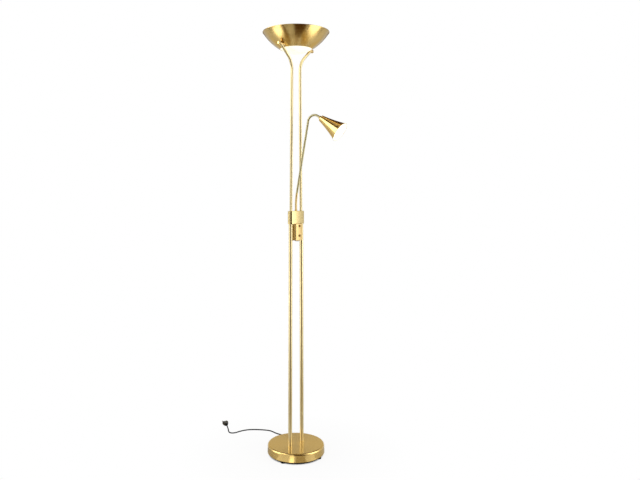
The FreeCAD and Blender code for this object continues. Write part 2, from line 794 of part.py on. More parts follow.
nut = hexNut("pivot_nut_right", "foot_nut_flats", "ear_nut_thick", "nipple_dia / 2 + running_fit")
place(nut, ("ear_reach - ear_nut_thick - slack / 2", "0", "pivot_level"), ("0", "90", "0"))
paired(nut, "pivot_nuts")

washer = newBody("pivot_washer_right")
turned(washer, [
    ("nipple_dia / 2 + running_fit", "slack"),
    ("washer_dia / 2", "slack"),
    ("washer_dia / 2", "washer_thick"),
    ("nipple_dia / 2 + running_fit", "washer_thick"),
])
place(washer, ("barrel_out", "0", "pivot_level"), ("0", "90", "0"))
paired(washer, "pivot_washers")

knob = newBody("pivot_knob_right")
turned(knob, [
    ("nipple_dia / 2 + running_fit", "0"),
    ("nipple_dia / 2 + knob_neck_wall", "0"),
    ("nipple_dia / 2 + knob_neck_wall", "knob_neck"),
    ("knob_dia / 2 - knob_edge", "knob_neck"),
    ("knob_dia / 2", "knob_neck + knob_edge"),
    ("knob_dia / 2", "knob_length - knob_round"),
    ("knob_dia / 2 - knob_round", "knob_length", "+knob_round"),
    ("0", "knob_length"),
    ("0", "knob_neck + knob_grip + slack"),
    ("nipple_dia / 2 + running_fit", "knob_neck + knob_grip + slack"),
])
place(knob, ("barrel_out + washer_thick + slack / 2", "0", "pivot_level"), ("0", "90", "0"))
mirrored(knob, "pivot_knob_left")

# ---- lamp bracket across the bowl, its two ceramic ends and the linear lamp

bracket = newBody("lamp_bracket")
sketch = newSketch(bracket, "XZ_Plane", ("0", "0", "-strip_width / 2"))
reach = "ear_reach + strip_thick"
top = "strip_level + strip_thick"
low = "pivot_level - ear_drop"
outline(sketch, [
    (f"-({reach})", low), ("-ear_reach", low), ("-ear_reach", "strip_level"),
    ("ear_reach", "strip_level"), ("ear_reach", low), (reach, low), (reach, top), (f"-({reach})", top),
])
pad(bracket, sketch, "strip_width")
primitive(
    bracket, "SubtractiveCylinder", ("-bowl_mouth_dia / 2", "0", "pivot_level"), ("0", "90", "0"),
    Radius="nipple_dia / 2 + running_fit", Height="bowl_mouth_dia",
)

holder = newBody("lamp_holder_right")
sketch = newSketch(holder, "XZ_Plane", ("0", "0", "-holder_width / 2"))
outline(sketch, [
    ("lamp_length / 2 - lamp_cap_length", "strip_level + strip_thick"),
    ("lamp_length / 2 + holder_length", "strip_level + strip_thick"),
    ("lamp_length / 2 + holder_length", "holder_top"),
    ("lamp_length / 2 + slack", "holder_top"),
    ("lamp_length / 2 + slack", "holder_shelf"),
    ("lamp_length / 2 - lamp_cap_length", "holder_shelf"),
])
pad(holder, sketch, "holder_width")
primitive(
    holder, "SubtractiveCylinder", ("lamp_length / 2 - 1", "0", "lamp_level"), ("0", "90", "0"),
    Radius="lamp_pin_dia / 2 + slack", Height="lamp_pin_length + 2",
)
paired(holder, "lamp_holders")

ends = newBody("lamp_end_right")
turned(ends, [
    ("0", "lamp_length / 2 - lamp_cap_length"),
    ("lamp_cap_dia / 2", "lamp_length / 2 - lamp_cap_length"),
    ("lamp_cap_dia / 2", "lamp_length / 2"),
    ("lamp_pin_dia / 2", "lamp_length / 2"),
    ("lamp_pin_dia / 2", "lamp_length / 2 + lamp_pin_length"),
    ("0", "lamp_length / 2 + lamp_pin_length"),
])
place(ends, ("0", "0", "lamp_level"), ("0", "90", "0"))
paired(ends, "lamp_ends")

tube = newBody("lamp_tube")
turned(tube, [
    ("0", "-lamp_length / 2 + lamp_cap_length"),
    ("lamp_pinch_dia / 2", "-lamp_length / 2 + lamp_cap_length"),
    ("lamp_dia / 2", "-lamp_length / 2 + lamp_pinch_length"),
    ("lamp_dia / 2", "lamp_length / 2 - lamp_pinch_length"),
    ("lamp_pinch_dia / 2", "lamp_length / 2 - lamp_cap_length"),
    ("0", "lamp_length / 2 - lamp_cap_length"),
])
place(tube, ("0", "0", "lamp_level"), ("0", "90", "0"))

sleeveBlank = cylinderAlongX("sleeve_blank", "sleeve_dia / 2", "ear_reach + strip_thick", "barrel_in")
sleeveBore = cylinderAlongX("sleeve_bore", "nipple_dia / 2 + running_fit", "0", "barrel_out")
inside = doc.addObject("PartDesign::Body", "bowl_inside")
turned(inside, [
    ("bowl_mouth_dia / 2 - bowl_wall", "bowl_level + mouth_step"),
    ("bowl_dia / 2 - bowl_wall", "bowl_rim", "+bowl_curve - bowl_wall"),
    ("0", "bowl_rim"),
    ("0", "bowl_level + mouth_step"),
])
common = doc.addObject("Part::Common", "sleeve_seat")
common.Base = cut("sleeve_tube", sleeveBlank, sleeveBore)
common.Tool = inside
keep(common, "pivot_sleeve_right")
mirrored(common, "pivot_sleeve_left")

# ---- control housing under the coupler, with two push switches

house = newBody("control_housing")
for inset, low, length, kind in (
    ("0", "house_low", "house_height", "PartDesign::Pad"),
    ("house_wall", "house_low + house_wall", "house_height - 2 * house_wall", "PartDesign::Pocket"),
):
    sketch = newSketch(house, "XY_Plane", ("0", "0", low))
    side = f"house_width / 2 - {inset}"
    corner = f"house_corner - {inset}"
    front = f"-house_front + {inset}"
    outline(sketch, [
        (f"-({side}) + {corner}", front, f"+{corner}"),
        (f"{side} - ({corner})", front),
        (side, f"{front} + {corner}", f"+{corner}"),
        (side, "house_back"),
        (f"-({side})", "house_back"),
        (f"-({side})", f"{front} + {corner}"),
    ])
    feature = pad(house, sketch, length, kind)
    if kind == "PartDesign::Pocket":
        feature.Reversed = True
for side in ("", "-"):
    for level in ("house_low + cover_post_inset", "block_level - cover_post_inset"):
        primitive(
            house, "AdditiveCylinder", (f"{side}cover_post_reach", "-house_inside - weld", level),
            ("0", "0", "-90"),
            Radius="cover_post_dia / 2", Height="post_length + weld",
        )
        primitive(
            house, "SubtractiveCylinder",
            (f"{side}cover_post_reach", "-house_inside + cover_post_cap", level),
            ("0", "0", "-90"),
            Radius="cover_screw_dia / 2 + running_fit", Height="house_inside + house_back",
        )
    primitive(
        house, "SubtractiveCylinder",
        (f"{side}house_screw_reach", "-house_screw_inset", "block_level - house_wall - 1"),
        Radius="house_screw_dia / 2 + slack", Height="house_wall + 2",
    )
for level in ("upper_button", "lower_button"):
    primitive(
        house, "SubtractiveCylinder", ("0", "-house_front - 1", level), ("0", "0", "-90"),
        Radius="button_dia / 2 + button_gap", Height="house_wall + 2",
    )
primitive(
    house, "SubtractiveCylinder", ("0", "-wire_hole_inset", "block_level - house_wall - 1"),
    Radius="wire_hole_dia / 2", Height="house_wall + 2",
)
primitive(
    house, "SubtractiveCylinder", ("0", "(house_back - house_front) / 2", "house_low - 1"),
    Radius="bush_neck_dia / 2 + slack", Height="house_wall + 2",
)

screw = newBody("housing_screw_right")
turned(screw, [
    ("0", "-house_wall - slack / 2 - house_screw_head"),
    ("house_screw_dia * screw_head_share", "-house_wall - slack / 2 - house_screw_head"),
    ("house_screw_dia * screw_head_share", "-house_wall - slack / 2"),
    ("house_screw_dia / 2", "-house_wall - slack / 2"),
    ("house_screw_dia / 2", "house_screw_length - slack"),
    ("0", "house_screw_length - slack"),
])
place(screw, ("house_screw_reach", "-house_screw_inset", "block_level"))
paired(screw, "housing_screws")

bush = newBody("housing_bush")
turned(bush, [
    ("bush_bore / 2", "-bush_height"),
    ("bush_dia / 2 - bush_edge", "-bush_height"),
    ("bush_dia / 2", "-bush_height + bush_edge", "+bush_edge"),
    ("bush_dia / 2", "-slack / 2"),
    ("bush_neck_dia / 2", "-slack / 2"),
    ("bush_neck_dia / 2", "house_wall + bush_edge"),
    ("bush_bore / 2", "house_wall + bush_edge"),
])
place(bush, ("0", "(house_back - house_front) / 2", "house_low"))

cover = newBody("housing_cover")
primitive(
    cover, "AdditiveBox",
    ("-house_width / 2 + house_wall + slack", "house_back - cover_thick", "house_low + house_wall + slack"),
    Length="house_width - 2 * (house_wall + slack)", Width="cover_thick",
    Height="house_height - 2 * (house_wall + slack)",
)
for level in ("house_low + rib_low_inset", "block_level - rib_top_inset"):
    primitive(
        cover, "AdditiveBox", ("-cover_rib_width / 2", "-board_front + board_thick + slack", level),
        Length="cover_rib_width",
        Width="house_back - cover_thick + board_front - board_thick - slack + weld",
        Height="cover_rib_thick",
    )
for side in ("", "-"):
    for level in ("house_low + cover_post_inset", "block_level - cover_post_inset"):
        primitive(
            cover, "SubtractiveCylinder",
            (f"{side}cover_post_reach", "house_back - cover_thick - 1", level), ("0", "0", "-90"),
            Radius="cover_screw_dia / 2 + slack", Height="cover_thick + 2",
        )

coverScrews = newBody("cover_screws")
for side in ("", "-"):
    for level in ("house_low + cover_post_inset", "block_level - cover_post_inset"):
        primitive(
            coverScrews, "AdditiveCylinder",
            (f"{side}cover_post_reach", "house_back + slack - cover_screw_length", level),
            ("0", "0", "-90"), Radius="cover_screw_dia / 2", Height="cover_screw_length",
        )
        primitive(
            coverScrews, "AdditiveCylinder", (f"{side}cover_post_reach", "house_back + slack / 2", level),
            ("0", "0", "-90"), Radius="cover_screw_dia * screw_head_share", Height="cover_screw_head",
        )

board = newBody("control_board")
primitive(
    board, "AdditiveBox",
    ("-board_width / 2", "-board_front", "(house_low + block_level - board_height) / 2"),
    Length="board_width", Width="board_thick", Height="board_height",
)

switches = newBody("push_switches")
for level in ("upper_button", "lower_button"):
    primitive(
        switches, "AdditiveBox", ("-switch_width / 2", "-switch_front", f"{level} - switch_width / 2"),
        Length="switch_width", Width="switch_depth - slack / 2", Height="switch_width",
    )
    primitive(
        switches, "SubtractiveCylinder", ("0", "-switch_front - 1", level), ("0", "0", "-90"),
        Radius="stem_dia / 2 + running_fit", Height="switch_depth",
    )

for label, level in (("uplight_button", "upper_button"), ("reading_button", "lower_button")):
    button = newBody(label)
    turned(button, [
        ("0", "0"),
        ("button_dia / 2 - button_edge", "0"),
        ("button_dia / 2", "button_edge", "+button_edge"),
        ("button_dia / 2", "button_stand + house_wall + slack"),
        ("button_dia / 2 + button_lip", "button_stand + house_wall + slack"),
        ("button_dia / 2 + button_lip", "button_stand + house_wall + slack + button_flange"),
        ("stem_dia / 2", "button_stand + house_wall + slack + button_flange"),
        ("stem_dia / 2", "button_stand + house_front - switch_front + stem_hold"),
        ("0", "button_stand + house_front - switch_front + stem_hold"),
    ])
    place(button, ("0", "-house_front - button_stand", level), ("0", "0", "-90"))

# ---- gooseneck in links that meet in ball and cup, each drawn from its lower end straight up


def neckLink(label, corners, low, lean, ball=True, cup=True):
    """A tube along corners in the arm's plane, with low = its lower end's reach and level."""
    body = newBody(label)
    section = newSketch(body, "XY_Plane")
    circle(section, "neck_dia / 2")
    circle(section, "neck_bore / 2")
    route = newSketch(body, "XZ_Plane")
    outline(route, corners, closed=False)
    pipe = body.newObject("PartDesign::AdditivePipe", label + "_tube")
    pipe.Profile = section
    pipe.Spine = (route, [])
    if ball:
        primitive(body, "AdditiveSphere", Radius="neck_dia / 2")
        primitive(
            body, "SubtractiveCylinder", ("0", "0", "-neck_dia"),
            Radius="neck_bore / 2", Height="neck_dia + neck_dia / 2",
        )
    if cup:
        primitive(
            body, "SubtractiveSphere", (corners[-1][0], "0", corners[-1][1]),
            Radius="neck_dia / 2 + ball_gap",
        )
    place(body, (f"{low[0]} * cos(arm_turn)", f"{low[0]} * sin(arm_turn)", low[1]), ("arm_turn", lean, "0"))
    return body


foot = neckLink("neck_foot", [
    ("0", "0"),
    ("0", "arm_rise - slack"),
    ("bend1_s", "bend1_z - block_top - slack", "-arm_sweep"),
], ("0", "block_top + slack"), "0", ball=False)
turned(foot, [
    ("neck_bore / 2", "-spigot_length"),
    ("spigot_dia / 2", "-spigot_length"),
    ("spigot_dia / 2", "0"),
    ("ferrule_dia / 2", "0"),
    ("ferrule_dia / 2", "ferrule_height - ferrule_edge"),
    ("ferrule_dia / 2 - ferrule_edge", "ferrule_height"),
    ("neck_bore / 2", "ferrule_height"),
])
halfStraight = [("0", "0"), ("0", "arm_straight / 2")]
neckLink("neck_lower", halfStraight, ("bend1_s", "bend1_z"), "arm_lean")
neckLink("neck_middle", halfStraight, ("bend2_s", "bend2_z"), "arm_lean")
halfCrook = [("0", "0"), ("half_crook_x", "half_crook_z", "-crook_radius")]
neckLink("neck_upper", halfCrook, ("bend3_s", "bend3_z"), "arm_lean")
tail = (
    "half_crook_x + (arm_tail - 1) * sin(crook_turn / 2)",
    "half_crook_z + (arm_tail - 1) * cos(crook_turn / 2)",
)
neckLink("neck_end", halfCrook + [tail], ("bend4_s", "bend4_z"), "arm_lean + crook_turn / 2", cup=False)

nut = hexNut(
    "neck_nut", "neck_nut_flats", "neck_nut_thick", "spigot_dia / 2 + running_fit",
    "block_top + slack - spigot_length",
)

# ---- reading head on the end of the gooseneck

headBase = ("head_s * cos(arm_turn)", "head_s * sin(arm_turn)", "head_z")
headTurn = ("arm_turn", "head_tilt", "0")

bush = newBody("head_bush")
turned(bush, [
    ("neck_dia / 2 + running_fit", "-head_bush_length"),
    ("head_bush_dia / 2 - head_bush_edge", "-head_bush_length"),
    ("head_bush_dia / 2", "-head_bush_length + head_bush_edge"),
    ("head_bush_dia / 2", "-slack / 2"),
    ("head_thread_dia / 2", "-slack / 2"),
    ("head_thread_dia / 2", "head_thread_length"),
    ("neck_bore / 2", "head_thread_length"),
    ("neck_bore / 2", "-head_bush_floor"),
    ("neck_dia / 2 + running_fit", "-head_bush_floor"),
])
place(bush, headBase, headTurn)

shade = newBody("reading_shade")
turned(shade, [
    ("head_thread_dia / 2 + slack", "0"),
    ("shade_back_dia / 2 - shade_round", "0"),
    ("shade_back_dia / 2", "shade_round", "+shade_round"),
    ("shade_mouth_dia / 2", "shade_length", "-shade_curve"),
    ("shade_mouth_dia / 2 - shade_wall", "shade_length"),
    ("shade_back_dia / 2 - shade_wall", "shade_round", "+shade_curve + shade_wall"),
    ("shade_back_dia / 2 - shade_round", "shade_wall", "-shade_round - shade_wall"),
    ("head_thread_dia / 2 + slack", "shade_wall"),
])
primitive(
    shade, "AdditiveTorus", ("0", "0", "shade_length - shade_bead"),
    Radius1="shade_mouth_dia / 2 - shade_bead", Radius2="shade_bead",
)
place(shade, headBase, headTurn)

nut = hexNut(
    "head_nut", "head_nut_flats", "head_nut_thick", "head_thread_dia / 2 + running_fit",
    "shade_wall + slack / 2",
)
place(nut, headBase, headTurn)

holder = newBody("reading_holder")
turned(holder, [
    ("0", "head_thread_length + slack"),
    ("reader_holder_dia / 2", "head_thread_length + slack"),
    ("reader_holder_dia / 2", "head_thread_length + slack + reader_holder_length"),
    ("reader_base_dia / 2 + slack", "head_thread_length + slack + reader_holder_length"),
    ("reader_base_dia / 2 + slack", "head_thread_length + reader_holder_length - reader_base_depth"),
    ("0", "head_thread_length + reader_holder_length - reader_base_depth"),
])
place(holder, headBase, headTurn)

bulb = newBody("reading_bulb")
turned(bulb, [
    ("0", "bulb_base"),
    ("reader_base_dia / 2", "bulb_base"),
    ("reader_base_dia / 2", "bulb_base + reader_base_length"),
    ("reader_bulb_dia / 2", "bulb_base + reader_shoulder"),
    ("reader_bulb_dia / 2", "bulb_base + reader_bulb_length - reader_bulb_dia / 2"),
    ("0", "bulb_base + reader_bulb_length", "+reader_bulb_dia / 2"),
])
place(bulb, headBase, headTurn)

# ---- mains cord: gland, strain relief, coil and free runs, and the plug

glandBase = ("base_dia / 2 * cos(gland_turn)", "base_dia / 2 * sin(gland_turn)", "gland_level")
glandTurn = ("gland_turn", "90", "0")

gland = newBody("cord_gland")
turned(gland, [
    ("cord_dia / 2 + slack", "-gland_body_length"),
    ("gland_body_dia / 2", "-gland_body_length"),
    ("gland_body_dia / 2", "0"),
    ("gland_flange_dia / 2", "0"),
    ("gland_flange_dia / 2", "gland_flange_thick - 1"),
    ("gland_flange_dia / 2 - 1", "gland_flange_thick"),
    ("cord_dia / 2 + slack", "gland_flange_thick"),
])
place(gland, glandBase, glandTurn)

glandNut = hexNut(
    "gland_nut", "gland_nut_flats", "gland_nut_thick", "gland_body_dia / 2 + running_fit",
    "-shell_wall - base_draw - slack - gland_nut_thick",
)
place(glandNut, glandBase, glandTurn)

relief = newBody("cord_relief")
turned(relief, [
    ("0", "gland_flange_thick"),
    ("gland_body_dia / 2", "gland_flange_thick"),
    ("relief_tip_dia / 2", "gland_flange_thick + relief_length"),
    ("0", "gland_flange_thick + relief_length"),
])
place(relief, glandBase, glandTurn)


def threePointArc(start, corner, end):
    """The arc from start to end that is tangent there to the lines through corner."""
    chord = end - start
    half = chord.getAngle(corner - start)
    if half < 1e-6:
        return Part.LineSegment(start, end).toShape()
    share = math.tan(half / 2) / math.tan(half)
    middle = (start + end) / 2
    return Part.Arc(start, middle + (corner - middle) * share, end).toShape()


def tubeAlong(wire, label, heading):
    """A round tube of the cord's size along a wire that starts in the direction heading."""
    start = wire.Edges[0].Vertexes[0].Point
    ringEdge = Part.Circle(start, heading, number("cord_dia / 2")).toShape()
    solid = wire.makePipeShell([Part.Wire([ringEdge])], True, False)
    piece = doc.addObject("Part::Feature", label)
    piece.Shape = solid
    section = math.pi * number("cord_dia / 2") ** 2
    print(f"{label}: {wire.Length:.0f} mm long, volume over section x length "
          f"{solid.Volume / section / wire.Length:.4f}")
    return keep(piece, label)


def cordRun(label, spots):
    """Straight runs through spots, joined by arcs as large as their runs allow."""
    edges = []
    at = spots[0]
    radii = []
    for before, corner, after in zip(spots, spots[1:], spots[2:]):
        into, out = corner - before, after - corner
        turn = into.getAngle(out)
        reach = 0.45 * min(into.Length, out.Length)
        radii.append(reach / math.tan(turn / 2))
        start = corner - into.normalize() * reach
        end = corner + out.normalize() * reach
        edges += [Part.LineSegment(at, start).toShape(), threePointArc(start, corner, end)]
        at = end
    edges.append(Part.LineSegment(at, spots[-1]).toShape())
    print(f"{label}: radii", " ".join(f"{r:.1f}" for r in radii))
    return tubeAlong(Part.Wire(edges), label, spots[1] - spots[0])


def spoke(angle):
    return Vector(math.cos(math.radians(angle)), math.sin(math.radians(angle)), 0)


# The coil turns clockwise, spirals in for three turns, climbs a layer and spirals out again.
# The cord runs straight beyond its relief, into the coil and out of it.
cordLevel = number("cord_dia / 2")
plugLevel = number("plug_thick / 2")
reliefRun, coilRun, outRun = 16, 15, 21
pitch = number("coil_pitch")
coilRadius = number("coil_dia / 2")
coilCentre = Vector(number("coil_x"), number("coil_y"), cordLevel)
quarterAngle, firstAngle = 72, -18
first = coilCentre + spoke(firstAngle) * coilRadius
quarterRadius = coilRadius + pitch / 2
quarterCentre = first - spoke(firstAngle) * quarterRadius
coilStart = quarterCentre + spoke(quarterAngle) * quarterRadius
coilHeading = spoke(quarterAngle - 90)
inward = [coilRadius - pitch / 2 * i for i in range(6)]
halfTurns = [(r, 0) for r in inward] + [(inward[-1] - pitch / 2, pitch)] + [(r, 0) for r in inward[::-1]]
corner = quarterCentre + (spoke(quarterAngle) + spoke(firstAngle)) * quarterRadius
coilEdges = [threePointArc(coilStart, corner, first)]
at, angle = first, firstAngle
for radius, climb in halfTurns:
    centre = at - spoke(angle) * radius
    end = centre - spoke(angle) * radius + Vector(0, 0, climb)
    ahead = spoke(angle - 90) * radius
    middle = (at + end) / 2 + ahead
    coilEdges += [threePointArc(at, at + ahead, middle), threePointArc(middle, end + ahead, end)]
    at, angle = end, angle - 180
coilEnd, coilOut = at, spoke(angle - 90)
coilWire = Part.Wire(coilEdges)

sampleStep, leastTurn = 2.0, 40
samples = coilWire.discretize(Distance=sampleStep)
skip = int(leastTurn / sampleStep)
gaps = [(a - b).Length for i, a in enumerate(samples) for b in samples[i + skip:]]
print(f"cord_coil: least gap to itself {min(gaps) - number('cord_dia'):.2f} mm")

glandOut = spoke(number("gland_turn"))
tip = glandOut * number("base_dia / 2 + gland_flange_thick + relief_length")
tip.z = number("gland_level")
leadIn = [
    tip,
    tip + glandOut * reliefRun,
    Vector(80, 158.5, 9.6),
    Vector(94, 160, cordLevel),
    coilStart - coilHeading * coilRun,
    coilStart,
]
cordRun("cord_lead", leadIn)
tubeAlong(coilWire, "cord_coil", coilHeading)
freeRun = [
    coilEnd,
    coilEnd + coilOut * outRun,
    Vector(95, 166, 10.6),
    Vector(98, 187, 7.2),
    Vector(108.5, 219, cordLevel),
    Vector(114.5, 248, cordLevel),
    Vector(106.5, 272, cordLevel),
    Vector(91.5, 298, cordLevel),
    Vector(75, 321, cordLevel),
    Vector(55, 340.5, cordLevel),
    Vector(31, 351.8, cordLevel),
    Vector(9, 356.5, cordLevel),
    Vector(-7.5, 358.6, cordLevel),
    Vector(-20.8, 366, cordLevel),
    Vector(-25.2, 379.5, cordLevel),
    Vector(-18.5, 394, cordLevel),
    Vector(-3, 411.5, cordLevel),
    Vector(12, 433, plugLevel),
    Vector(27.5, 457, plugLevel),
]
cordRun("power_cord", freeRun)

plugHeading = freeRun[-1] - freeRun[-2]
plugTurn = math.degrees(math.atan2(plugHeading.y, plugHeading.x))
plug = newBody("mains_plug")
sketch = newSketch(plug, "XY_Plane", ("0", "0", "-plug_thick / 2"))
outline(sketch, [
    ("0", "-relief_tip_dia"),
    ("plug_waist", "-plug_width / 2"),
    ("plug_length", "-plug_width / 2"),
    ("plug_length", "plug_width / 2"),
    ("plug_waist", "plug_width / 2"),
    ("0", "relief_tip_dia"),
])
grip = pad(plug, sketch, "plug_thick")
doc.recompute()
fillet = plug.newObject("PartDesign::Fillet", "plug_edges")
fillet.Base = (grip, [f"Edge{i}" for i in range(1, len(plug.Shape.Edges) + 1)])
bind(fillet, Radius="plug_edge")
pins = newBody("plug_pins")
for side in ("", "-"):
    primitive(
        pins, "AdditiveCylinder", ("plug_length", f"{side}plug_pin_pitch / 2", "0"), ("0", "90", "0"),
        Radius="plug_pin_dia / 2", Height="plug_pin_length",
    )
for piece in (plug, pins):
    piece.Placement = FreeCAD.Placement(
        freeRun[-1],
        FreeCAD.Rotation(Vector(0, 0, 1), plugTurn),
    )

# ---- checks and export

doc.recompute()
for thing in doc.Objects:
    if "Invalid" in thing.State or "Error" in thing.State:
        raise RuntimeError(f"{thing.Name} {thing.Label}: {thing.State}")
for piece in parts:
    shape = piece.Shape
    if shape.isNull() or not shape.isValid() or shape.Volume <= 0:
        raise RuntimeError(f"{piece.Label} has no sound shape")
    shape.exportStep(f"parts/{piece.Label}.step")
    print(f"{piece.Label}: {len(shape.Solids)} solid(s), {shape.Volume / 1000:.2f} cm3")
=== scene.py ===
import math
import bmesh
import bpy
import numpy as np
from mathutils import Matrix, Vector


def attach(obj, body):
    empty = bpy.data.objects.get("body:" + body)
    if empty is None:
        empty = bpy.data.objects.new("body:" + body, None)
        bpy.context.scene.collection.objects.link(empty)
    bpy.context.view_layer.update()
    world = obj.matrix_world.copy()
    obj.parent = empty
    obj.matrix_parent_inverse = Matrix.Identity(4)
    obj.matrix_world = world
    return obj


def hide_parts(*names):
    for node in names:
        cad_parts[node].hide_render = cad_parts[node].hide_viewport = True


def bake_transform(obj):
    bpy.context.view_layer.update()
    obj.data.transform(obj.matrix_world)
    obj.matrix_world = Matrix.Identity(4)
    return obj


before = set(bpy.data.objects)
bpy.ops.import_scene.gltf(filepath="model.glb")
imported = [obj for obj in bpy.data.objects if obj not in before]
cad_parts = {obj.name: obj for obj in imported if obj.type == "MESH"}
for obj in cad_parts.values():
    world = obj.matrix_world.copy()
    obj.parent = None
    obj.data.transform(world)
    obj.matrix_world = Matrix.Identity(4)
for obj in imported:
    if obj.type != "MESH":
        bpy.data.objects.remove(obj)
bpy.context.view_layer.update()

# A brass torchiere with a reading light. Metres and Z up; the poles stand on X, the buttons face -Y.
# Sizes in the dictionaries are millimetres and degrees unless a note says otherwise.

scene = bpy.context.scene
mm = 0.001
origin = (0, 0, 0)
up = (0, 0, 1)

# camera: level, at chest height, from the front left; the picture is 640 by 480
camera = {"turn": -50, "distance": 2716, "height": 1117, "lens": 35.72, "shift": (0.0375, -0.075)}
turn = math.radians(camera["turn"])
cameraData = bpy.data.cameras.new("camera")
cameraData.lens = camera["lens"]
cameraData.shift_x, cameraData.shift_y = camera["shift"]
cameraObject = bpy.data.objects.new("camera", cameraData)
cameraObject.location = (
    math.sin(turn) * camera["distance"] * mm,
    -math.cos(turn) * camera["distance"] * mm,
    camera["height"] * mm,
)
cameraObject.rotation_euler = (math.pi / 2, 0, turn)
scene.collection.objects.link(cameraObject)
scene.camera = cameraObject
scene.view_settings.view_transform = "Standard"
print("camera placed")


# helpers for colours and nodes

def toLinear(hexColour):
    # c / 12.92 below 0.04045, else ((c + 0.055) / 1.055) ^ 2.4
    c = np.array([int(hexColour[i:i + 2], 16) for i in (1, 3, 5)]) / 255
    return (*np.where(c <= 0.04045, c / 12.92, ((c + 0.055) / 1.055) ** 2.4), 1.0)


def addNode(tree, kind, inputs=None, **settings):
    # inputs are by name or number, and each is a value or the socket that feeds it. A Mix node of colours
    # takes its share at 0 and its two colours at 6 and 7, and gives the result at 2
    node = tree.nodes.new("ShaderNode" + kind)
    for name, value in settings.items():
        setattr(node, name, value)
    for name, value in (inputs or {}).items():
        if isinstance(value, bpy.types.NodeSocket):
            tree.links.new(value, node.inputs[name])
        else:
            node.inputs[name].default_value = value
    return node


def newMaterial(name, **sockets):
    # sockets are the shader's own, with _ for each space
    material = bpy.data.materials.new(name)
    material.use_nodes = True
    tree = material.node_tree
    shader = tree.nodes["Principled BSDF"]
    for socket, value in sockets.items():
        shader.inputs[socket.replace("_", " ")].default_value = value
    return material, tree, shader


# helpers for surfaces, all in mm

def unit(v):
    # v over its own length
    return np.array(v, float) / np.linalg.norm(v)


def arc(centre, radius, start, end, count):
    # centre + radius (cos a, sin a) for count angles a from start to end, in degrees
    a = np.radians(np.linspace(start, end, count))
    return np.stack([centre[0] + radius * np.cos(a), centre[1] + radius * np.sin(a)], axis=1)


def skin(name, grid, body, slot, material, loop=False, replaced=(), sharp=32, lining=None):
    # quads between neighbours of a grid (rows, columns, 3) in mm, whose columns close on themselves;
    # with loop the rows do too. UV: u once round the columns, v the mean length along the rows in m.
    # sharp is the least angle of an edge that isn't smoothed; lining is a material and the first row
    # that it covers, and the row after its last
    grid = grid * mm
    rows, columns = grid.shape[:2]
    r, c = np.meshgrid(np.arange(rows if loop else rows - 1), np.arange(columns), indexing="ij")
    corners = [(r, c), (r, c + 1), (r + 1, c + 1), (r + 1, c)]
    faces = np.stack([i % rows * columns + j % columns for i, j in corners], axis=-1).reshape(-1, 4)
    steps = np.linalg.norm(np.roll(grid, -1, axis=0) - grid, axis=2).mean(axis=1)
    along = np.concatenate([[0], np.cumsum(steps)])
    uv = np.stack([np.stack([j / columns, along[i]], axis=-1) for i, j in corners], axis=2)
    mesh = bpy.data.meshes.new(name)
    mesh.from_pydata(grid.reshape(-1, 3), [], faces)
    mesh.uv_layers.new(name="surface").uv.foreach_set("vector", uv.ravel())
    if lining:
        lined = (r >= lining[1]) & (r < lining[2])
        mesh.polygons.foreach_set("material_index", lined.ravel().astype(int))
    shape = bmesh.new()
    shape.from_mesh(mesh)
    bmesh.ops.remove_doubles(shape, verts=shape.verts, dist=1e-7)
    if shape.calc_volume(signed=True) < 0:
        bmesh.ops.reverse_faces(shape, faces=shape.faces)
    shape.to_mesh(mesh)
    shape.free()
    mesh.shade_smooth()
    mesh.set_sharp_from_angle(angle=math.radians(sharp))
    mesh.materials.append(material)
    if lining:
        mesh.materials.append(lining[0])
    piece = bpy.data.objects.new(name, mesh)
    scene.collection.objects.link(piece)
    if body:
        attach(piece, body)
    if replaced:
        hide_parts(*replaced)
    return piece


def turnedGrid(profile, base, axis, count):
    # base + z axis + r (cos u side + sin u front) for the profile's points (r, z) and u round a circle;
    # side is square to the axis and to a fixed direction well away from it
    axis = unit(axis)
    side = unit(np.cross(axis, (0.31, 0.52, 0.79) if abs(axis[2]) < 0.9 else (0, 1, 0)))
    front = np.cross(axis, side)
    profile = np.array(profile, float)
    u = np.linspace(0, 2 * math.pi, count, endpoint=False)
    ring = np.outer(np.cos(u), side) + np.outer(np.sin(u), front)
    return np.array(base) + profile[:, 1, None, None] * axis + profile[:, 0, None, None] * ring


def sweptGrid(path, radii, count, closed=True):
    # path + r (cos u across + sin u over), with across square to the path in the plane that it bends in,
    # or in any plane where it is straight, and over = along x across; closed adds a point at each end
    path = np.array(path, float)
    radii = np.broadcast_to(radii, len(path))
    along = np.gradient(path, axis=0)
    along /= np.linalg.norm(along, axis=1, keepdims=True)
    plane = np.cross(path[-1] - path[0], path[len(path) // 2] - path[0])
    plane = unit(plane) if np.linalg.norm(plane) > 1e-3 else unit(np.cross(along[0], (0.3, 0.9, 0.1)))
    across = np.cross(plane, along)
    across /= np.linalg.norm(across, axis=1, keepdims=True)
    over = np.cross(along, across)
    u = np.linspace(0, 2 * math.pi, count, endpoint=False)
    ring = np.cos(u)[None, :, None] * across[:, None] + np.sin(u)[None, :, None] * over[:, None]
    grid = path[:, None] + radii[:, None, None] * ring
    if closed:
        ends = [np.repeat(path[i][None], count, axis=0)[None] for i in (0, -1)]
        grid = np.concatenate([ends[0], grid, ends[1]])
    return grid


# cord: the points of the part's own route, out of the gland, down and round a coil behind the base, then
# over the coil's side and along the floor to the plug

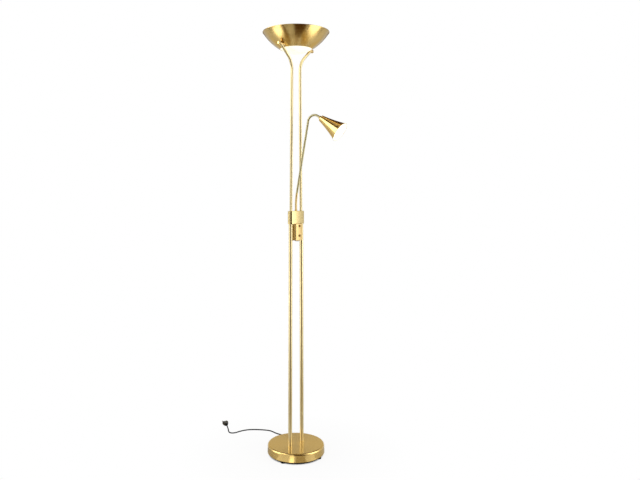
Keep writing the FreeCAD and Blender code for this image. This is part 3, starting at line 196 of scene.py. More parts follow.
cordSizes = {
    "diameter": 5.2, "level": 2.6, "plugLevel": 6.8,
    "outlet": 65, "outletLevel": 18.5, "tip": 148.5, "reliefRun": 16,
    "lead": ((80, 158.5, 9.6), (94, 160, 2.6)),
    "coilCentre": (115.6, 113.4), "coilRadius": 33.6, "pitch": 5.8, "coilStart": -18,
    "pointsPerHalfTurn": 12, "halfTurnsInward": 6,
    "coilRun": 15, "coilEntry": 4, "coilExit": 5, "outRun": 21,
    "overCoil": ((95, 166, 10.6), (98, 187, 7.2)),
    "floorRun": (
        (108.5, 219), (114.5, 248), (106.5, 272), (91.5, 298), (75, 321), (55, 340.5), (31, 351.8),
        (9, 356.5), (-7.5, 358.6), (-20.8, 366), (-25.2, 379.5), (-18.5, 394), (-3, 411.5),
    ),
    "plugRun": ((12, 433), (27.5, 457)),
}


def spoke(angle):
    # the level direction (cos angle, sin angle)
    return np.array([math.cos(math.radians(angle)), math.sin(math.radians(angle)), 0.0])


def coilPoints():
    # Half turns of one radius each: centre + r / cos(half a step) (cos a, sin a) at the middles of the
    # steps, where a curve that touches the middle of each side is the circle itself. The turns go inward,
    # climb by a pitch and come out again on top
    s = cordSizes
    steps = s["pointsPerHalfTurn"]
    step = 180 / steps
    out = 1 / math.cos(math.radians(step / 2))
    opening = s["coilStart"]
    first = np.array([*s["coilCentre"], s["level"]]) + spoke(opening) * s["coilRadius"]
    lead = s["coilRadius"] + s["pitch"] / 2
    centre = first - spoke(opening) * lead
    points = [centre + spoke(opening + 90 - step * (k + 0.5)) * lead * out for k in range(steps // 2)]
    inward = [s["coilRadius"] - s["pitch"] / 2 * i for i in range(s["halfTurnsInward"])]
    turns = [(r, 0) for r in inward] + [(inward[-1] - s["pitch"] / 2, s["pitch"])]
    turns += [(r, 0) for r in inward[::-1]]
    at, angle = first, opening
    for radius, climb in turns:
        centre = at - spoke(angle) * radius
        for k in range(steps):
            share = (k + 0.5) / steps
            points.append(centre + spoke(angle - 180 * share) * radius * out + (0, 0, climb * share))
        at = centre - spoke(angle) * radius + (0, 0, climb)
        angle -= 180
    start = first - spoke(opening) * lead + spoke(opening + 90) * lead
    return points, start, spoke(opening), at, spoke(angle - 90)


coil, coilStart, coilHeading, coilEnd, coilOut = coilPoints()
outward = spoke(cordSizes["outlet"])
outlet = (0, 0, cordSizes["outletLevel"])
tip = outward * cordSizes["tip"] + outlet
route = [
    tip,
    tip + outward * cordSizes["reliefRun"],
    *cordSizes["lead"],
    coilStart - coilHeading * cordSizes["coilRun"],
    coilStart + coilHeading * cordSizes["coilEntry"],
    *coil,
    coilEnd + coilOut * cordSizes["coilExit"],
    coilEnd + coilOut * cordSizes["outRun"],
    *cordSizes["overCoil"],
    *[(x, y, cordSizes["level"]) for x, y in cordSizes["floorRun"]],
    *[(x, y, cordSizes["plugLevel"]) for x, y in cordSizes["plugRun"]],
]
cordCurve = bpy.data.curves.new("mains_cord", "CURVE")
cordCurve.dimensions = "3D"
cordCurve.bevel_depth = 1.0  # each point's own radius is the cord's
cordCurve.bevel_resolution = 5
cordCurve.resolution_u = 6
cordCurve.use_fill_caps = True
spline = cordCurve.splines.new("NURBS")
spline.points.add(len(route) - 1)
for point, place in zip(spline.points, route):
    point.co = (*[x * mm for x in place], 1)
    point.radius = cordSizes["diameter"] / 2 * mm
spline.order_u = 3
spline.use_endpoint_u = True
cord = bpy.data.objects.new("mains_cord", cordCurve)
scene.collection.objects.link(cord)
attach(cord, "base")
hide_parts("cord_lead", "cord_coil", "power_cord")
print("cord laid:", len(route), "points")


# materials: first what every brushed and every moulded finish shares. "from" and "to" are where the
# noise shows as the one colour and as the other, and "roughness" is what it makes of the roughness there

brushed = {
    "from": 0.72, "to": 1.28, "roughness": (1.15, 0.85), "strength": 0.05, "depth": 0.01,
    "detail": (3.0, 2.0), "fineRoughness": 0.65,
    "coarse": (0.25, 0.17, 1),  # how often the coarse streaks come, for each fine one
    "round": (0.6, 0.05),  # metres round a turned piece and round a tube, which u goes round once
}
speckled = {
    "from": 0.15, "to": 0.4, "roughness": (0.9, 1.12), "strength": 0.3, "detail": (2.0, 3.0),
    "patches": 0.06,  # how often a wide patch comes, for each spot
}


def brass(name, base, dark, roughness, brushing, grain, turned=True, anisotropy=0.0):
    # Brushed brass under clear lacquer: fine parallel lines that stretch each highlight across them.
    # brushing is the spacing of the lines in mm, drawn about ten times as coarse as the real ones so
    # that they show; grain is how long a line runs, as a multiple of its width
    material, tree, shader = newMaterial(
        name, Metallic=1.0, Roughness=roughness, Anisotropic=anisotropy,
        Anisotropic_Rotation=0.25 if turned else 0.0, Coat_Weight=0.5, Coat_Roughness=0.2,
    )
    m = brushed
    uv = addNode(tree, "UVMap", uv_map="surface").outputs[0]
    across = 1 / (brushing * mm)
    circle = m["round"][0 if turned else 1]
    scale = (across / grain * circle, across, 1) if turned else (across * circle, across / grain, 1)
    mapped = addNode(tree, "Mapping", {"Vector": uv, "Scale": scale}).outputs[0]
    fine = addNode(tree, "TexNoise", {
        "Vector": mapped, "Scale": 1.0, "Detail": m["detail"][0], "Roughness": m["fineRoughness"],
    })
    coarse = addNode(tree, "TexNoise", {
        "Vector": addNode(tree, "Mapping", {"Vector": mapped, "Scale": m["coarse"]}).outputs[0],
        "Scale": 1.0, "Detail": m["detail"][1],
    })
    both = addNode(tree, "Math", {0: fine.outputs[0], 1: coarse.outputs[0]}, operation="ADD")
    ranged = addNode(tree, "MapRange", {0: both.outputs[0], 1: m["from"], 2: m["to"], 3: 0.0, 4: 1.0})
    share = ranged.outputs[0]
    streaked = addNode(tree, "Mix", {0: share, 6: toLinear(dark), 7: toLinear(base)}, data_type="RGBA")
    tree.links.new(streaked.outputs[2], shader.inputs["Base Color"])
    duller, smoother = (roughness * k for k in m["roughness"])
    rough = addNode(tree, "MapRange", {0: share, 1: 0.0, 2: 1.0, 3: duller, 4: smoother})
    tree.links.new(rough.outputs[0], shader.inputs["Roughness"])
    bump = addNode(tree, "Bump", {"Height": share, "Strength": m["strength"], "Distance": m["depth"] * mm})
    tree.links.new(bump.outputs[0], shader.inputs["Normal"])
    if anisotropy:
        tangent = addNode(tree, "Tangent", direction_type="UV_MAP", uv_map="surface")
        tree.links.new(tangent.outputs[0], shader.inputs["Tangent"])
    return material


def moulded(name, colour, worn, roughness, grit, metallic=0.0, depth=0.03, **sockets):
    # A fine even texture, spots times patches: grit is the size in mm of the spots, worn the colour of
    # their tops and depth their height in mm
    material, tree, shader = newMaterial(name, Roughness=roughness, Metallic=metallic, **sockets)
    m = speckled
    place = addNode(tree, "TexCoord").outputs["Object"]
    spots = addNode(tree, "TexNoise", {"Vector": place, "Scale": 1 / (grit * mm), "Detail": m["detail"][0]})
    patches = addNode(tree, "TexNoise", {
        "Vector": place, "Scale": m["patches"] / (grit * mm), "Detail": m["detail"][1],
    })
    both = addNode(tree, "Math", {0: spots.outputs[0], 1: patches.outputs[0]}, operation="MULTIPLY")
    ranged = addNode(tree, "MapRange", {0: both.outputs[0], 1: m["from"], 2: m["to"], 3: 0.0, 4: 1.0})
    share = ranged.outputs[0]
    spotted = addNode(tree, "Mix", {0: share, 6: toLinear(colour), 7: toLinear(worn)}, data_type="RGBA")
    tree.links.new(spotted.outputs[2], shader.inputs["Base Color"])
    smoother, duller = (roughness * k for k in m["roughness"])
    rough = addNode(tree, "MapRange", {0: share, 1: 0.0, 2: 1.0, 3: smoother, 4: duller})
    tree.links.new(rough.outputs[0], shader.inputs["Roughness"])
    bump = addNode(tree, "Bump", {
        "Height": spots.outputs[0], "Strength": m["strength"], "Distance": depth * mm,
    })
    tree.links.new(bump.outputs[0], shader.inputs["Normal"])
    return material


# spun and brushed on the lathe: circular lines, so highlights fan out from the middle as a bow tie
spunBrass = brass("spun_brass", "#e2c177", "#ddba6e", 0.24, 1.1, 60, anisotropy=0.75)
# drawn tube, polished lengthwise: soft highlights all along it
tubeBrass = brass("drawn_brass_tube", "#e0d0a0", "#d6c592", 0.42, 0.9, 60, turned=False)
# die-cast and belt-sanded: short level lines on the coupler, upright ones on the housing
castBrass = brass("sanded_brass_casting", "#d0ba80", "#ccb57a", 0.28, 0.8, 30, anisotropy=0.4)
boxBrass = brass("upright_sanded_brass", "#ceb074", "#caab6c", 0.3, 0.8, 30, turned=False, anisotropy=0.6)
# strip wound into a flexible hose and plated: duller and greener than the tubes
hoseBrass = brass("wound_brass_hose", "#bdb388", "#b0a678", 0.36, 0.9, 20)
# turned from bar and lacquered: brightest, with lines round it
barBrass = brass("turned_brass_bar", "#e0c384", "#d8b978", 0.2, 0.5, 60, anisotropy=0.4)
# small fittings, machined and lacquered: an even fine grain with no direction
plainBrass = moulded("machined_brass", "#d9bd80", "#e0c68c", 0.3, 0.5, metallic=1.0, depth=0.01)

# phenolic pressed in a dull mould: the brown push buttons, with little gloss
brownPlastic = moulded("brown_phenolic", "#7c5818", "#865f1c", 0.5, 0.5, Specular_IOR_Level=0.2)
# ABS from a spark-eroded mould: a soft even sheen
blackPlastic = moulded("black_abs", "#121212", "#1d1d1d", 0.42, 0.5)
greyPlastic = moulded("grey_abs", "#b4b2aa", "#bfbdb5", 0.45, 0.6)
# moulded rubber, dusty: no highlight
footRubber = moulded("foot_rubber", "#060607", "#0e0e0f", 0.8, 0.7, Specular_IOR_Level=0.15)
# extruded PVC, smooth: a low sheen
cordRubber = moulded("cord_pvc", "#050506", "#0b0b0c", 0.6, 0.6, Specular_IOR_Level=0.08)
# sand-cast iron: a coarse dull grain
castIron = moulded("cast_iron", "#3a3a3c", "#4a4846", 0.8, 1.2, depth=0.2)
# zinc-plated steel and nickel plate: the one cloudy, the other nearly a mirror
zincSteel = moulded("zinc_plated_steel", "#a3a5a8", "#b8babd", 0.35, 0.8, metallic=1.0)
nickel = moulded("nickel_plate", "#c4c2bb", "#d3d1ca", 0.16, 0.6, metallic=1.0, depth=0.01)
# pressed steatite, unglazed: chalky
ceramic = moulded("steatite_ceramic", "#e6e3da", "#efece4", 0.6, 0.5)
# vulcanised fibre and a lacquered circuit board: matt, and a dull gloss
fibre = moulded("fibre_washer", "#8d8674", "#9a9280", 0.7, 0.5)
boardGreen = moulded("circuit_board", "#24503a", "#2c5f45", 0.4, 0.6)
# blown glass round a filament: smooth and lit
bulbGlass = moulded(
    "lamp_glass", "#fff6dc", "#fffaf0", 0.15, 0.8,
    Emission_Color=toLinear("#fff0cc"), Emission_Strength=1.6,
)
# white stove enamel with a painted glow: its emission stands in for the light of the bulb that it surrounds
glowingEnamel = moulded(
    "white_enamel_painted_glow", "#f2eee2", "#f8f5ec", 0.25, 0.8,
    Emission_Color=toLinear("#fff8e8"), Emission_Strength=0.75,
)

# opal glass, lit from inside: white with faint clouds 55 mm across, warmer to its edge, glossy outside
opalGlass, tree, shader = newMaterial("opal_glass", Roughness=0.18, IOR=1.5, Emission_Strength=0.7)
place = addNode(tree, "TexCoord").outputs["Object"]
cloud = addNode(tree, "TexNoise", {"Vector": place, "Scale": 18.0, "Detail": 2.0}).outputs[0]
clouded = addNode(tree, "Mix", {0: cloud, 6: toLinear("#e9e6d6"), 7: toLinear("#f1eee0")}, data_type="RGBA")
tree.links.new(clouded.outputs[2], shader.inputs["Base Color"])
facing = addNode(tree, "LayerWeight", {"Blend": 0.35}).outputs["Facing"]
warmed = addNode(tree, "Mix", {0: facing, 6: toLinear("#f3f5e2"), 7: toLinear("#f0e2b8")}, data_type="RGBA")
tree.links.new(warmed.outputs[2], shader.inputs["Emission Color"])

cord.data.materials.append(cordRubber)

# CAD nodes that keep their own mesh
finishes = {
    "base_weight": castIron, "base_plate": zincSteel, "base_screws": zincSteel, "foot_ring": footRubber,
    "foot_nipples": zincSteel, "foot_washers": zincSteel, "foot_nuts": zincSteel,
    "lower_set_screws": zincSteel, "upper_set_screws": zincSteel, "pivot_nipples": zincSteel,
    "pivot_nuts": zincSteel, "pivot_washers": fibre, "lamp_bracket": zincSteel,
    "lamp_holders": ceramic, "lamp_ends": ceramic, "lamp_tube": bulbGlass, "housing_screws": zincSteel,
    "housing_bush": greyPlastic, "cover_screws": zincSteel, "control_board": boardGreen,
    "push_switches": blackPlastic, "neck_nut": zincSteel, "head_nut": zincSteel,
    "reading_holder": ceramic, "reading_bulb": bulbGlass, "cord_gland": blackPlastic,
    "gland_nut": blackPlastic, "mains_plug": blackPlastic, "plug_pins": nickel,
}
for name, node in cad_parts.items():
    finish = finishes.get(name, plainBrass)
    for face in node.material_slots:
        face.material = finish
print("materials made")


# base: a spun cover that draws in a little to its round top edge, with a wall inside

base = {"radius": 121.5, "height": 44, "edge": 7, "draw": 0.8, "wall": 1.2, "foot": 10}
top = base["radius"] - base["draw"] - base["edge"]
edgeLevel = base["height"] - base["edge"]
flat = np.linspace(0, top, 40)[:-1]
profile = np.concatenate([
    np.stack([flat, np.full_like(flat, base["height"])], axis=1),
    arc((top, edgeLevel), base["edge"], 90, 0, 14),
    np.stack([
        np.linspace(base["radius"] - base["draw"], base["radius"], 12)[1:],
        np.linspace(edgeLevel, base["foot"], 12)[1:],
    ], axis=1),
    [(base["radius"] - base["wall"], base["foot"])],
    arc((top, edgeLevel), base["edge"] - base["wall"], 0, 90, 10),
    [(0, base["height"] - base["wall"])],
])
skin("base_cover", turnedGrid(profile, origin, up, 192), "base", "brass_spun", spunBrass,
     replaced=["base_shell"])

# strain relief: a tapered sleeve with slots round it, from the gland to the tip
relief = {
    "start": 124.5, "length": 24, "rootRadius": 4.5, "tipRadius": 3.3,
    "slots": 5, "slotDepth": 0.7, "slotShare": 0.35, "steepness": 14,
    "plainEnds": 1 / 12,  # as a share of the length
}
t = np.linspace(0, 1, 121)
# r(t) falls from the root to the tip, less a slot's depth where 1 / (1 + e^(-steepness (cos - share)))
# is high, and that fades out over the plain ends
steepness, share = relief["steepness"], relief["slotShare"]
wave = 1 / (1 + np.exp(-steepness * (np.cos(t * 2 * math.pi * relief["slots"]) - share)))
wave = wave * np.clip(np.minimum(t, 1 - t) / relief["plainEnds"], 0, 1)
radii = relief["rootRadius"] + (relief["tipRadius"] - relief["rootRadius"]) * t - relief["slotDepth"] * wave
profile = np.concatenate([
    [(0, 0)], np.stack([radii, t * relief["length"]], axis=1), [(0, relief["length"])],
])
reliefBase = outward * relief["start"] + outlet
reliefPiece = skin("strain_relief", turnedGrid(profile, reliefBase, outward, 32), "base", "cord_rubber",
                   cordRubber, replaced=["cord_relief"])
print("base and cord ends made")


# poles: places are (x, z) of the right-hand pole's middle line, at its foot, block, corner and pivot

poles = {
    "lowerRadius": 8, "foot": (38.8, 44), "block": (35.6, 981), "inBlock": 18, "columns": 48,
    "upperRadius": 6, "start": (33.2, 1036), "corner": (26.5, 1671), "flare": 80,
    "pivot": (98.5, 1736), "seat": 7.3, "inSeat": 1,
}


def flaredLine(start, corner, end, radius):
    # start, then the arc of that radius that touches both lines through corner, then end
    start, corner, end = (np.array(v, float) for v in (start, corner, end))
    into, out = unit(corner - start), unit(end - corner)
    bend = math.acos(into @ out)
    run = radius * math.tan(bend / 2)
    centre = corner - into * run + radius * np.array([into[1], -into[0]])
    angles = math.atan2(*(corner - into * run - centre)[::-1]) - np.linspace(0, bend, 40)
    curve = centre + radius * np.stack([np.cos(angles), np.sin(angles)], axis=1)
    low = start + (curve[0] - start) * np.linspace(0, 1, 20)[:, None]
    high = curve[-1] + (end - curve[-1]) * np.linspace(0, 1, 8)[:, None]
    return np.concatenate([low[:-1], curve, high[1:]])


for side, sign in (("right", 1), ("left", -1)):
    flip = np.array([sign, 1, 1])
    (footX, footZ), (blockX, blockZ) = poles["foot"], poles["block"]
    climb = np.linspace(0, 1, 24)[:, None] * (blockZ + poles["inBlock"] - footZ)
    low = climb * (-(footX - blockX) / (blockZ - footZ), 0, 1) + (footX, 0, footZ)
    skin(f"lower_tube_{side}", sweptGrid(low, poles["lowerRadius"], poles["columns"]) * flip,
         "base", "brass_pole", tubeBrass, replaced=[f"lower_pole_{side}"])
    line = flaredLine(poles["start"], poles["corner"], poles["pivot"], poles["flare"])
    below = line[0] + unit(line[0] - line[1]) * poles["inBlock"]
    line = np.concatenate([[below], line])
    path = np.stack([line[:, 0], np.zeros(len(line)), line[:, 1]], axis=1)
    grid = sweptGrid(path, poles["upperRadius"], poles["columns"], closed=False)
    # the upper end is cut to the barrel: each line goes on to z = pivot - sqrt(seat^2 - y^2)
    ahead = unit(path[-1] - path[-2])
    pivotX, pivotZ = poles["pivot"]
    reach = pivotZ - np.sqrt(poles["seat"] ** 2 - grid[-1, :, 1] ** 2)
    for row in (-1, -2, -3):
        grid[row] = grid[-4] + ((reach - grid[-4, :, 2]) / ahead[2] * (4 + row) / 3)[:, None] * ahead
    under = poles["seat"] - poles["inSeat"]
    middle = (pivotX - under * ahead[0] / ahead[2], 0, pivotZ - under)
    caps = [np.broadcast_to(q, (1, poles["columns"], 3)) for q in (path[0], middle)]
    grid = np.concatenate([caps[0], grid, caps[1]])
    skin(f"upper_tube_{side}", grid * flip, "base", "brass_pole", tubeBrass,
         replaced=[f"upper_pole_{side}"])
print("poles made")


# coupler and control housing: outlines drawn through levels, each with its own inset

coupler = {"half": 34.4, "radius": 13.25, "low": 981, "top": 1036, "edge": 1.2, "sag": 1.0}
housing = {
    "half": 23.5, "front": -19.5, "back": 3, "corner": 5, "low": 911, "top": 981, "edge": 0.8, "sag": 0.8,
    "coverStep": 0.3,  # the cover's own face stands out by this much behind
    "shadowGap": 0.2,  # and this much is open under the coupler
}


def lofted(name, outline, low, top, edge, *rest, **more):
    # outline(inset) at each level; the insets follow edge (1 - sin a) at heights edge (1 - cos a) from
    # both ends, for a from 0 to 90
    a = np.radians(np.linspace(0, 90, 7))
    insets = edge * (1 - np.sin(a))
    rises = edge * (1 - np.cos(a))
    levels = [(i, low + h) for i, h in zip(insets, rises)]
    levels += [(0, low + (top - low) * k / 8) for k in range(1, 8)]
    levels += [(i, top - h) for i, h in zip(insets[::-1], rises[::-1])]
    rings = []
    for inset, z in levels:
        flat = outline(inset)
        rings.append(np.concatenate([flat, np.full((len(flat), 1), z)], axis=1))
    middle = rings[0][:, :2].mean(axis=0)
    caps = [np.broadcast_to((*middle, z), rings[0].shape) for z in (low, top)]
    return skin(name, np.stack([caps[0], *rings, caps[1]]), *rest, **more)


def bulged(half, depth, sag, count, sign):
    # one long side of the coupler: y = sign (depth - sag (x / half)^2)
    x = np.linspace(-half, half, count) * -sign
    return np.stack([x, sign * (depth - sag * (x / half) ** 2)], axis=1)


def stadium(inset):
    # half circles round (+-half, 0), joined by sides that bulge a little
    half, depth, sag = coupler["half"], coupler["radius"] - inset, coupler["sag"]
    end = coupler["radius"] - coupler["sag"] - inset
    right = arc((half, 0), end, -88, 88, 40)
    left = arc((-half, 0), end, 92, 268, 40)
    sides = [bulged(half, depth, sag, 26, sign)[1:-1] for sign in (1, -1)]
    return np.concatenate([right, sides[0], left, sides[1]])


def boxFront(inset):
    # a box with two round corners in front, between them a face at y = front + sag (x / half)^2, and
    # square corners behind
    x, y = housing["half"] - inset, housing["front"] + housing["sag"] + inset
    c = housing["corner"] - inset
    face = np.linspace(-x + c, x - c, 24)[1:-1]
    bulge = y - housing["sag"] * (1 - (face / (x - c)) ** 2)
    back = housing["back"] - inset - housing["coverStep"]
    return np.concatenate([
        arc((-x + c, y + c), c, 180, 266, 14), np.stack([face, bulge], axis=1),
        arc((x - c, y + c), c, 274, 360, 14), [(x, back), (-x, back)],
    ])


lofted("coupler", stadium, coupler["low"], coupler["top"], coupler["edge"], "base", "brass_block",
       castBrass, replaced=["coupler_block"])
box = lofted("housing", boxFront, housing["low"], housing["top"] - housing["shadowGap"], housing["edge"],
             "base", "brass_block", boxBrass, replaced=["control_housing"])

# push buttons: a dished face, and (radius, start, end) of the flange behind the wall and of the stem
button = {
    "levels": {"uplight_button": 972, "reading_button": 931}, "front": -21.9, "radius": 5.25, "edge": 0.8,
    "dish": 0.5, "flange": (6.55, 4.2, 5.4), "stem": (2, 5.4, 12.4),
}
# their holes, wider behind the wall to leave room for the flanges
hole = {"radius": 5.5, "wall": 1.6, "room": 7.4, "depth": 16, "before": 1}
steps = [(0, -hole["before"]), (hole["radius"], -hole["before"]), (hole["radius"], hole["wall"])]
steps += [(hole["room"], hole["wall"]), (hole["room"], hole["depth"]), (0, hole["depth"])]
for level in button["levels"].values():
    cutter = skin("hole", turnedGrid(steps, (0, housing["front"], level), (0, 1, 0), 48), None,
                  "brass_block", boxBrass)
    cut = box.modifiers.new("hole", "BOOLEAN")
    cut.object = cutter
    drilled = bpy.data.meshes.new_from_object(box.evaluated_get(bpy.context.evaluated_depsgraph_get()))
    box.modifiers.clear()
    box.data = drilled
    bpy.data.objects.remove(cutter)
box.data.set_sharp_from_angle(angle=math.radians(32))

dish = np.linspace(0, 1, 10)
face = button["radius"] - button["edge"]
lip, lipStart, lipEnd = button["flange"]
stem, stemStart, stemEnd = button["stem"]
# z = dish (1 - (r / face)^2) over the face, inside the rounded edge
profile = np.concatenate([
    np.stack([dish * face, button["dish"] * (1 - dish ** 2)], axis=1),
    arc((face, button["edge"]), button["edge"], -80, 0, 6),
    [(button["radius"], lipStart), (lip, lipStart), (lip, lipEnd)],
    [(stem, stemStart), (stem, stemEnd), (0, stemEnd)],
])
for name, level in button["levels"].items():
    skin(f"{name}_cap", turnedGrid(profile, (0, button["front"], level), (0, 1, 0), 48), f"{name}_body",
         "black_plastic", brownPlastic, replaced=[name])


# pivots: barrel, collar and knob about X. The bowl's sizes come first, since the collars meet its side

bowl = {
    "centre": (-41.8, 1914.8), "radius": 217.5, "wall": 1.2, "mouth": 1727,
    "rim": 1800, "rimRadius": 143, "bead": 1.5, "underBead": (0.4, 1),  # outside and inside
}
pivot = {
    "level": 1736, "bore": 5.1, "barrel": (92.5, 104.5), "barrelRadius": 7.5, "barrelEdge": 1,
    "knobStart": 105.6, "knobLength": 9, "knobRadius": 7, "neckRadius": 6.2, "neckLength": 2,
    "knobEdge": 0.5, "groove": (4.4, 4.7, 5.0), "grooveDepth": 0.35, "knobDome": 2.5,
    "collarRadius": 7, "collarEdge": (0.6, 0.97), "inBowl": 0.4, "collarGap": 0.2,
}
for side, sign in (("right", 1), ("left", -1)):
    axis = (sign, 0, 0)
    level = pivot["level"]
    start, end = pivot["barrel"]
    edge = pivot["barrelEdge"]
    inside = pivot["barrelRadius"] - edge
    profile = [(pivot["bore"], start), *arc((inside, start + edge), edge, -90, 0, 6)]
    profile += [*arc((inside, end - edge), edge, 0, 90, 6), (pivot["bore"], end)]
    skin(f"barrel_{side}", turnedGrid(profile, (0, 0, level), axis, 64), "base", "brass_turned",
         barBrass, loop=True, replaced=[f"pivot_barrel_{side}"])
    k0, k1, kr = pivot["knobStart"], pivot["knobStart"] + pivot["knobLength"], pivot["knobRadius"]
    neckEnd, edge, dome = k0 + pivot["neckLength"], pivot["knobEdge"], pivot["knobDome"]
    profile = [(0, k0), (pivot["neckRadius"], k0), (pivot["neckRadius"], neckEnd)]
    profile += [*arc((kr - edge, neckEnd + edge), edge, -90, 0, 4)]
    profile += [(kr - depth, k0 + x) for x, depth in zip(pivot["groove"], (0, pivot["grooveDepth"], 0))]
    profile += [*arc((kr - dome, k1 - dome), dome, 0, 90, 10), (0, k1)]
    skin(f"knob_{side}", turnedGrid(profile, (0, 0, level), axis, 64), "bowl", "brass_turned",
         barBrass, replaced=[f"pivot_knob_{side}"])
    # collar: its inner end follows the bowl, x = sqrt(R(z)^2 - y^2) with R(z) the bowl's radius, and each
    # row is a radius and its share of the way out from there to the barrel
    u = np.linspace(0, 2 * math.pi, 64, endpoint=False)
    bore, outer = pivot["bore"], pivot["collarRadius"]
    chamfer, shoulder = pivot["collarEdge"]
    rows = []
    for radius, share in ((bore, 0), (bore, 1), (outer - chamfer, 1), (outer, shoulder), (outer, 0)):
        y, z = radius * np.cos(u), level + radius * np.sin(u)
        rim = bowl["centre"][0] + np.sqrt(bowl["radius"] ** 2 - (bowl["centre"][1] - z) ** 2)
        x = np.sqrt(rim ** 2 - y ** 2) - pivot["inBowl"]
        x = x + (start - pivot["collarGap"] - x) * share
        rows.append(np.stack([x * sign, y, z], axis=1))
    skin(f"collar_{side}", np.stack(rows), "bowl", "brass_turned", barBrass, loop=True,
         replaced=[f"pivot_collar_{side}"])
print("coupler and pivots made")


# bowl and its opal glass

def angleAt(centre, radius, z):
    # the angle, in degrees, at which a circle reaches height z: asin((z - centre) / radius)
    return math.degrees(math.asin((z - centre[1]) / radius))


outer, inner = bowl["radius"], bowl["radius"] - bowl["wall"]
beadCentre = (bowl["rimRadius"] - bowl["bead"], bowl["rim"] - bowl["bead"])
low = angleAt(bowl["centre"], outer, bowl["mouth"])
high = angleAt(bowl["centre"], outer, beadCentre[1] - bowl["underBead"][0])
innerHigh = angleAt(bowl["centre"], inner, beadCentre[1] - bowl["underBead"][1])
profile = np.concatenate([
    arc(bowl["centre"], outer, low, high, 72),
    arc(beadCentre, bowl["bead"], -20, 210, 16),
    arc(bowl["centre"], inner, innerHigh, low, 60),
])
skin("bowl_dish", turnedGrid(profile, origin, up, 192), "bowl", "brass_spun", spunBrass,
     loop=True, replaced=["bowl_shell"])

glass = {
    "radius": 65.5, "low": 1708, "wall": 3,
    "lip": ((65.5, 1728), (67.0, 1728.1), (68.6, 1729.4), (68.4, 1729.6), (62.5, 1729.6)),
}
# a cap that is drop high over a circle of radius r has the sphere radius (r^2 + drop^2) / (2 drop)
drop = bowl["mouth"] - glass["low"]
curve = (glass["radius"] ** 2 + drop ** 2) / (2 * drop)
glassCentre = (0, glass["low"] + curve)
thin = curve - glass["wall"]
outerReach = math.degrees(math.asin(glass["radius"] / curve))
innerReach = math.degrees(math.asin(glass["lip"][-1][0] / thin))
profile = np.concatenate([
    arc(glassCentre, curve, -90, -90 + outerReach, 40),
    glass["lip"],
    arc(glassCentre, thin, -90 + innerReach, -90, 36),
])
skin("opal_dome", turnedGrid(profile, origin, up, 128), "bowl", "opal_glass", opalGlass,
     replaced=["glass_dome"])
print("bowl made")


# gooseneck: wound hose along the arm's line, in lengths that bend over the joints

neck = {
    "bearing": -75, "radius": 4.72, "top": 1036.2, "rise": 25.8, "sweep": 300, "lean": 9.8,
    "straight": 309, "crook": 29.3, "turn": 116, "tail": 14.5,
    "ridge": 0.28, "pitch": 3.2, "roundness": 0.6, "step": 0.4, "columns": 28,
    "hoseStart": 6.5, "headStart": 0.78,  # from the foot in mm, and as a share of the crook
    "give": (14, 14, 9, 9),  # how far a bend spreads to each side of its joint
}
lean = math.radians(neck["lean"])
crookTurn = math.radians(neck["turn"])
spans = [neck["rise"], neck["sweep"] * lean, neck["straight"], neck["crook"] * crookTurn, neck["tail"]]
marks = np.concatenate([[0], np.cumsum(spans)])
step = neck["step"]
d = np.arange(0, marks[-1], step)
# the heading from upright: 0, then growing to the lean, held, then growing round the crook
heading = np.clip(d - marks[1], 0, spans[1]) / neck["sweep"]
heading = heading + np.clip(d - marks[3], 0, spans[3]) / neck["crook"]
# the line: the running sums of step sin(heading) outward and step cos(heading) upward
reach = np.cumsum(np.sin(heading)) * step - np.sin(heading[0]) * step
rise = np.cumsum(np.cos(heading)) * step - step + neck["top"]
line = reach[:, None] * spoke(neck["bearing"]) + rise[:, None] * np.array([0, 0, 1.0])
# each turn of the strip is a ridge: radius - ridge (1 - |sin(pi d / pitch)|^roundness)
ridge = np.abs(np.sin(math.pi * d / neck["pitch"])) ** neck["roundness"]
radii = neck["radius"] - neck["ridge"] * (1 - ridge)
joints = [marks[2], marks[2] + neck["straight"] / 2, marks[3], marks[3] + spans[3] / 2]
headStart = marks[3] + spans[3] * neck["headStart"]
cuts = [neck["hoseStart"], *(np.add(joints[:-1], joints[1:]) / 2), headStart]
replaced = [["neck_lower"], ["neck_middle"], ["neck_upper"], ["neck_end"]]
for i, joint in enumerate(joints):
    part = (d >= cuts[i] - step) & (d <= cuts[i + 1])
    piece = skin(f"hose_{i + 1}", sweptGrid(line[part], radii[part], neck["columns"]), None, "brass_neck",
                 hoseBrass, replaced=replaced[i], sharp=60)
    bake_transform(piece)
part = d >= headStart - step
skin("hose_5", sweptGrid(line[part], radii[part], neck["columns"]), "reading_head", "brass_neck",
     hoseBrass, sharp=60)
print("gooseneck made:", len(d), "rings")


# reading shade: a trumpet whose side is one long arc, bowed inward, from the back's edge to the bead

shade = {
    "base": (29.908, -111.618, 1427.271), "axis": (0.20992, -0.78343, -0.58496), "length": 106.5,
    "back": 13.7, "mouth": 43, "curve": 640, "wall": 1, "round": 2, "bead": 0.9, "bore": 5.2,
    "underBead": 0.3, "enamelledRings": 2,  # the enamel also covers the bead's last rings
}
backCentre = (shade["back"] - shade["round"], shade["round"])
beadCentre = (shade["mouth"] - shade["bead"], shade["length"] - shade["bead"])
flareEnds = ((shade["back"], shade["round"]), (shade["mouth"], beadCentre[1] - shade["underBead"]))
# the flare's centre is square to its chord, at sqrt(curve^2 - (chord / 2)^2)
chord = np.array([shade["mouth"] - shade["back"], shade["length"] - shade["round"]])
half = np.linalg.norm(chord) / 2
normal = np.array([chord[1], -chord[0]]) / (2 * half)
flareCentre = np.array(flareEnds[0]) + chord / 2 + normal * math.sqrt(shade["curve"] ** 2 - half ** 2)


def flareArc(radius, count):
    # the arc of that radius about the flare's centre, between the angles of the flare's two ends
    angles = [math.degrees(math.atan2(z - flareCentre[1], r - flareCentre[0])) % 360 for r, z in flareEnds]
    return arc(flareCentre, radius, *angles, count)


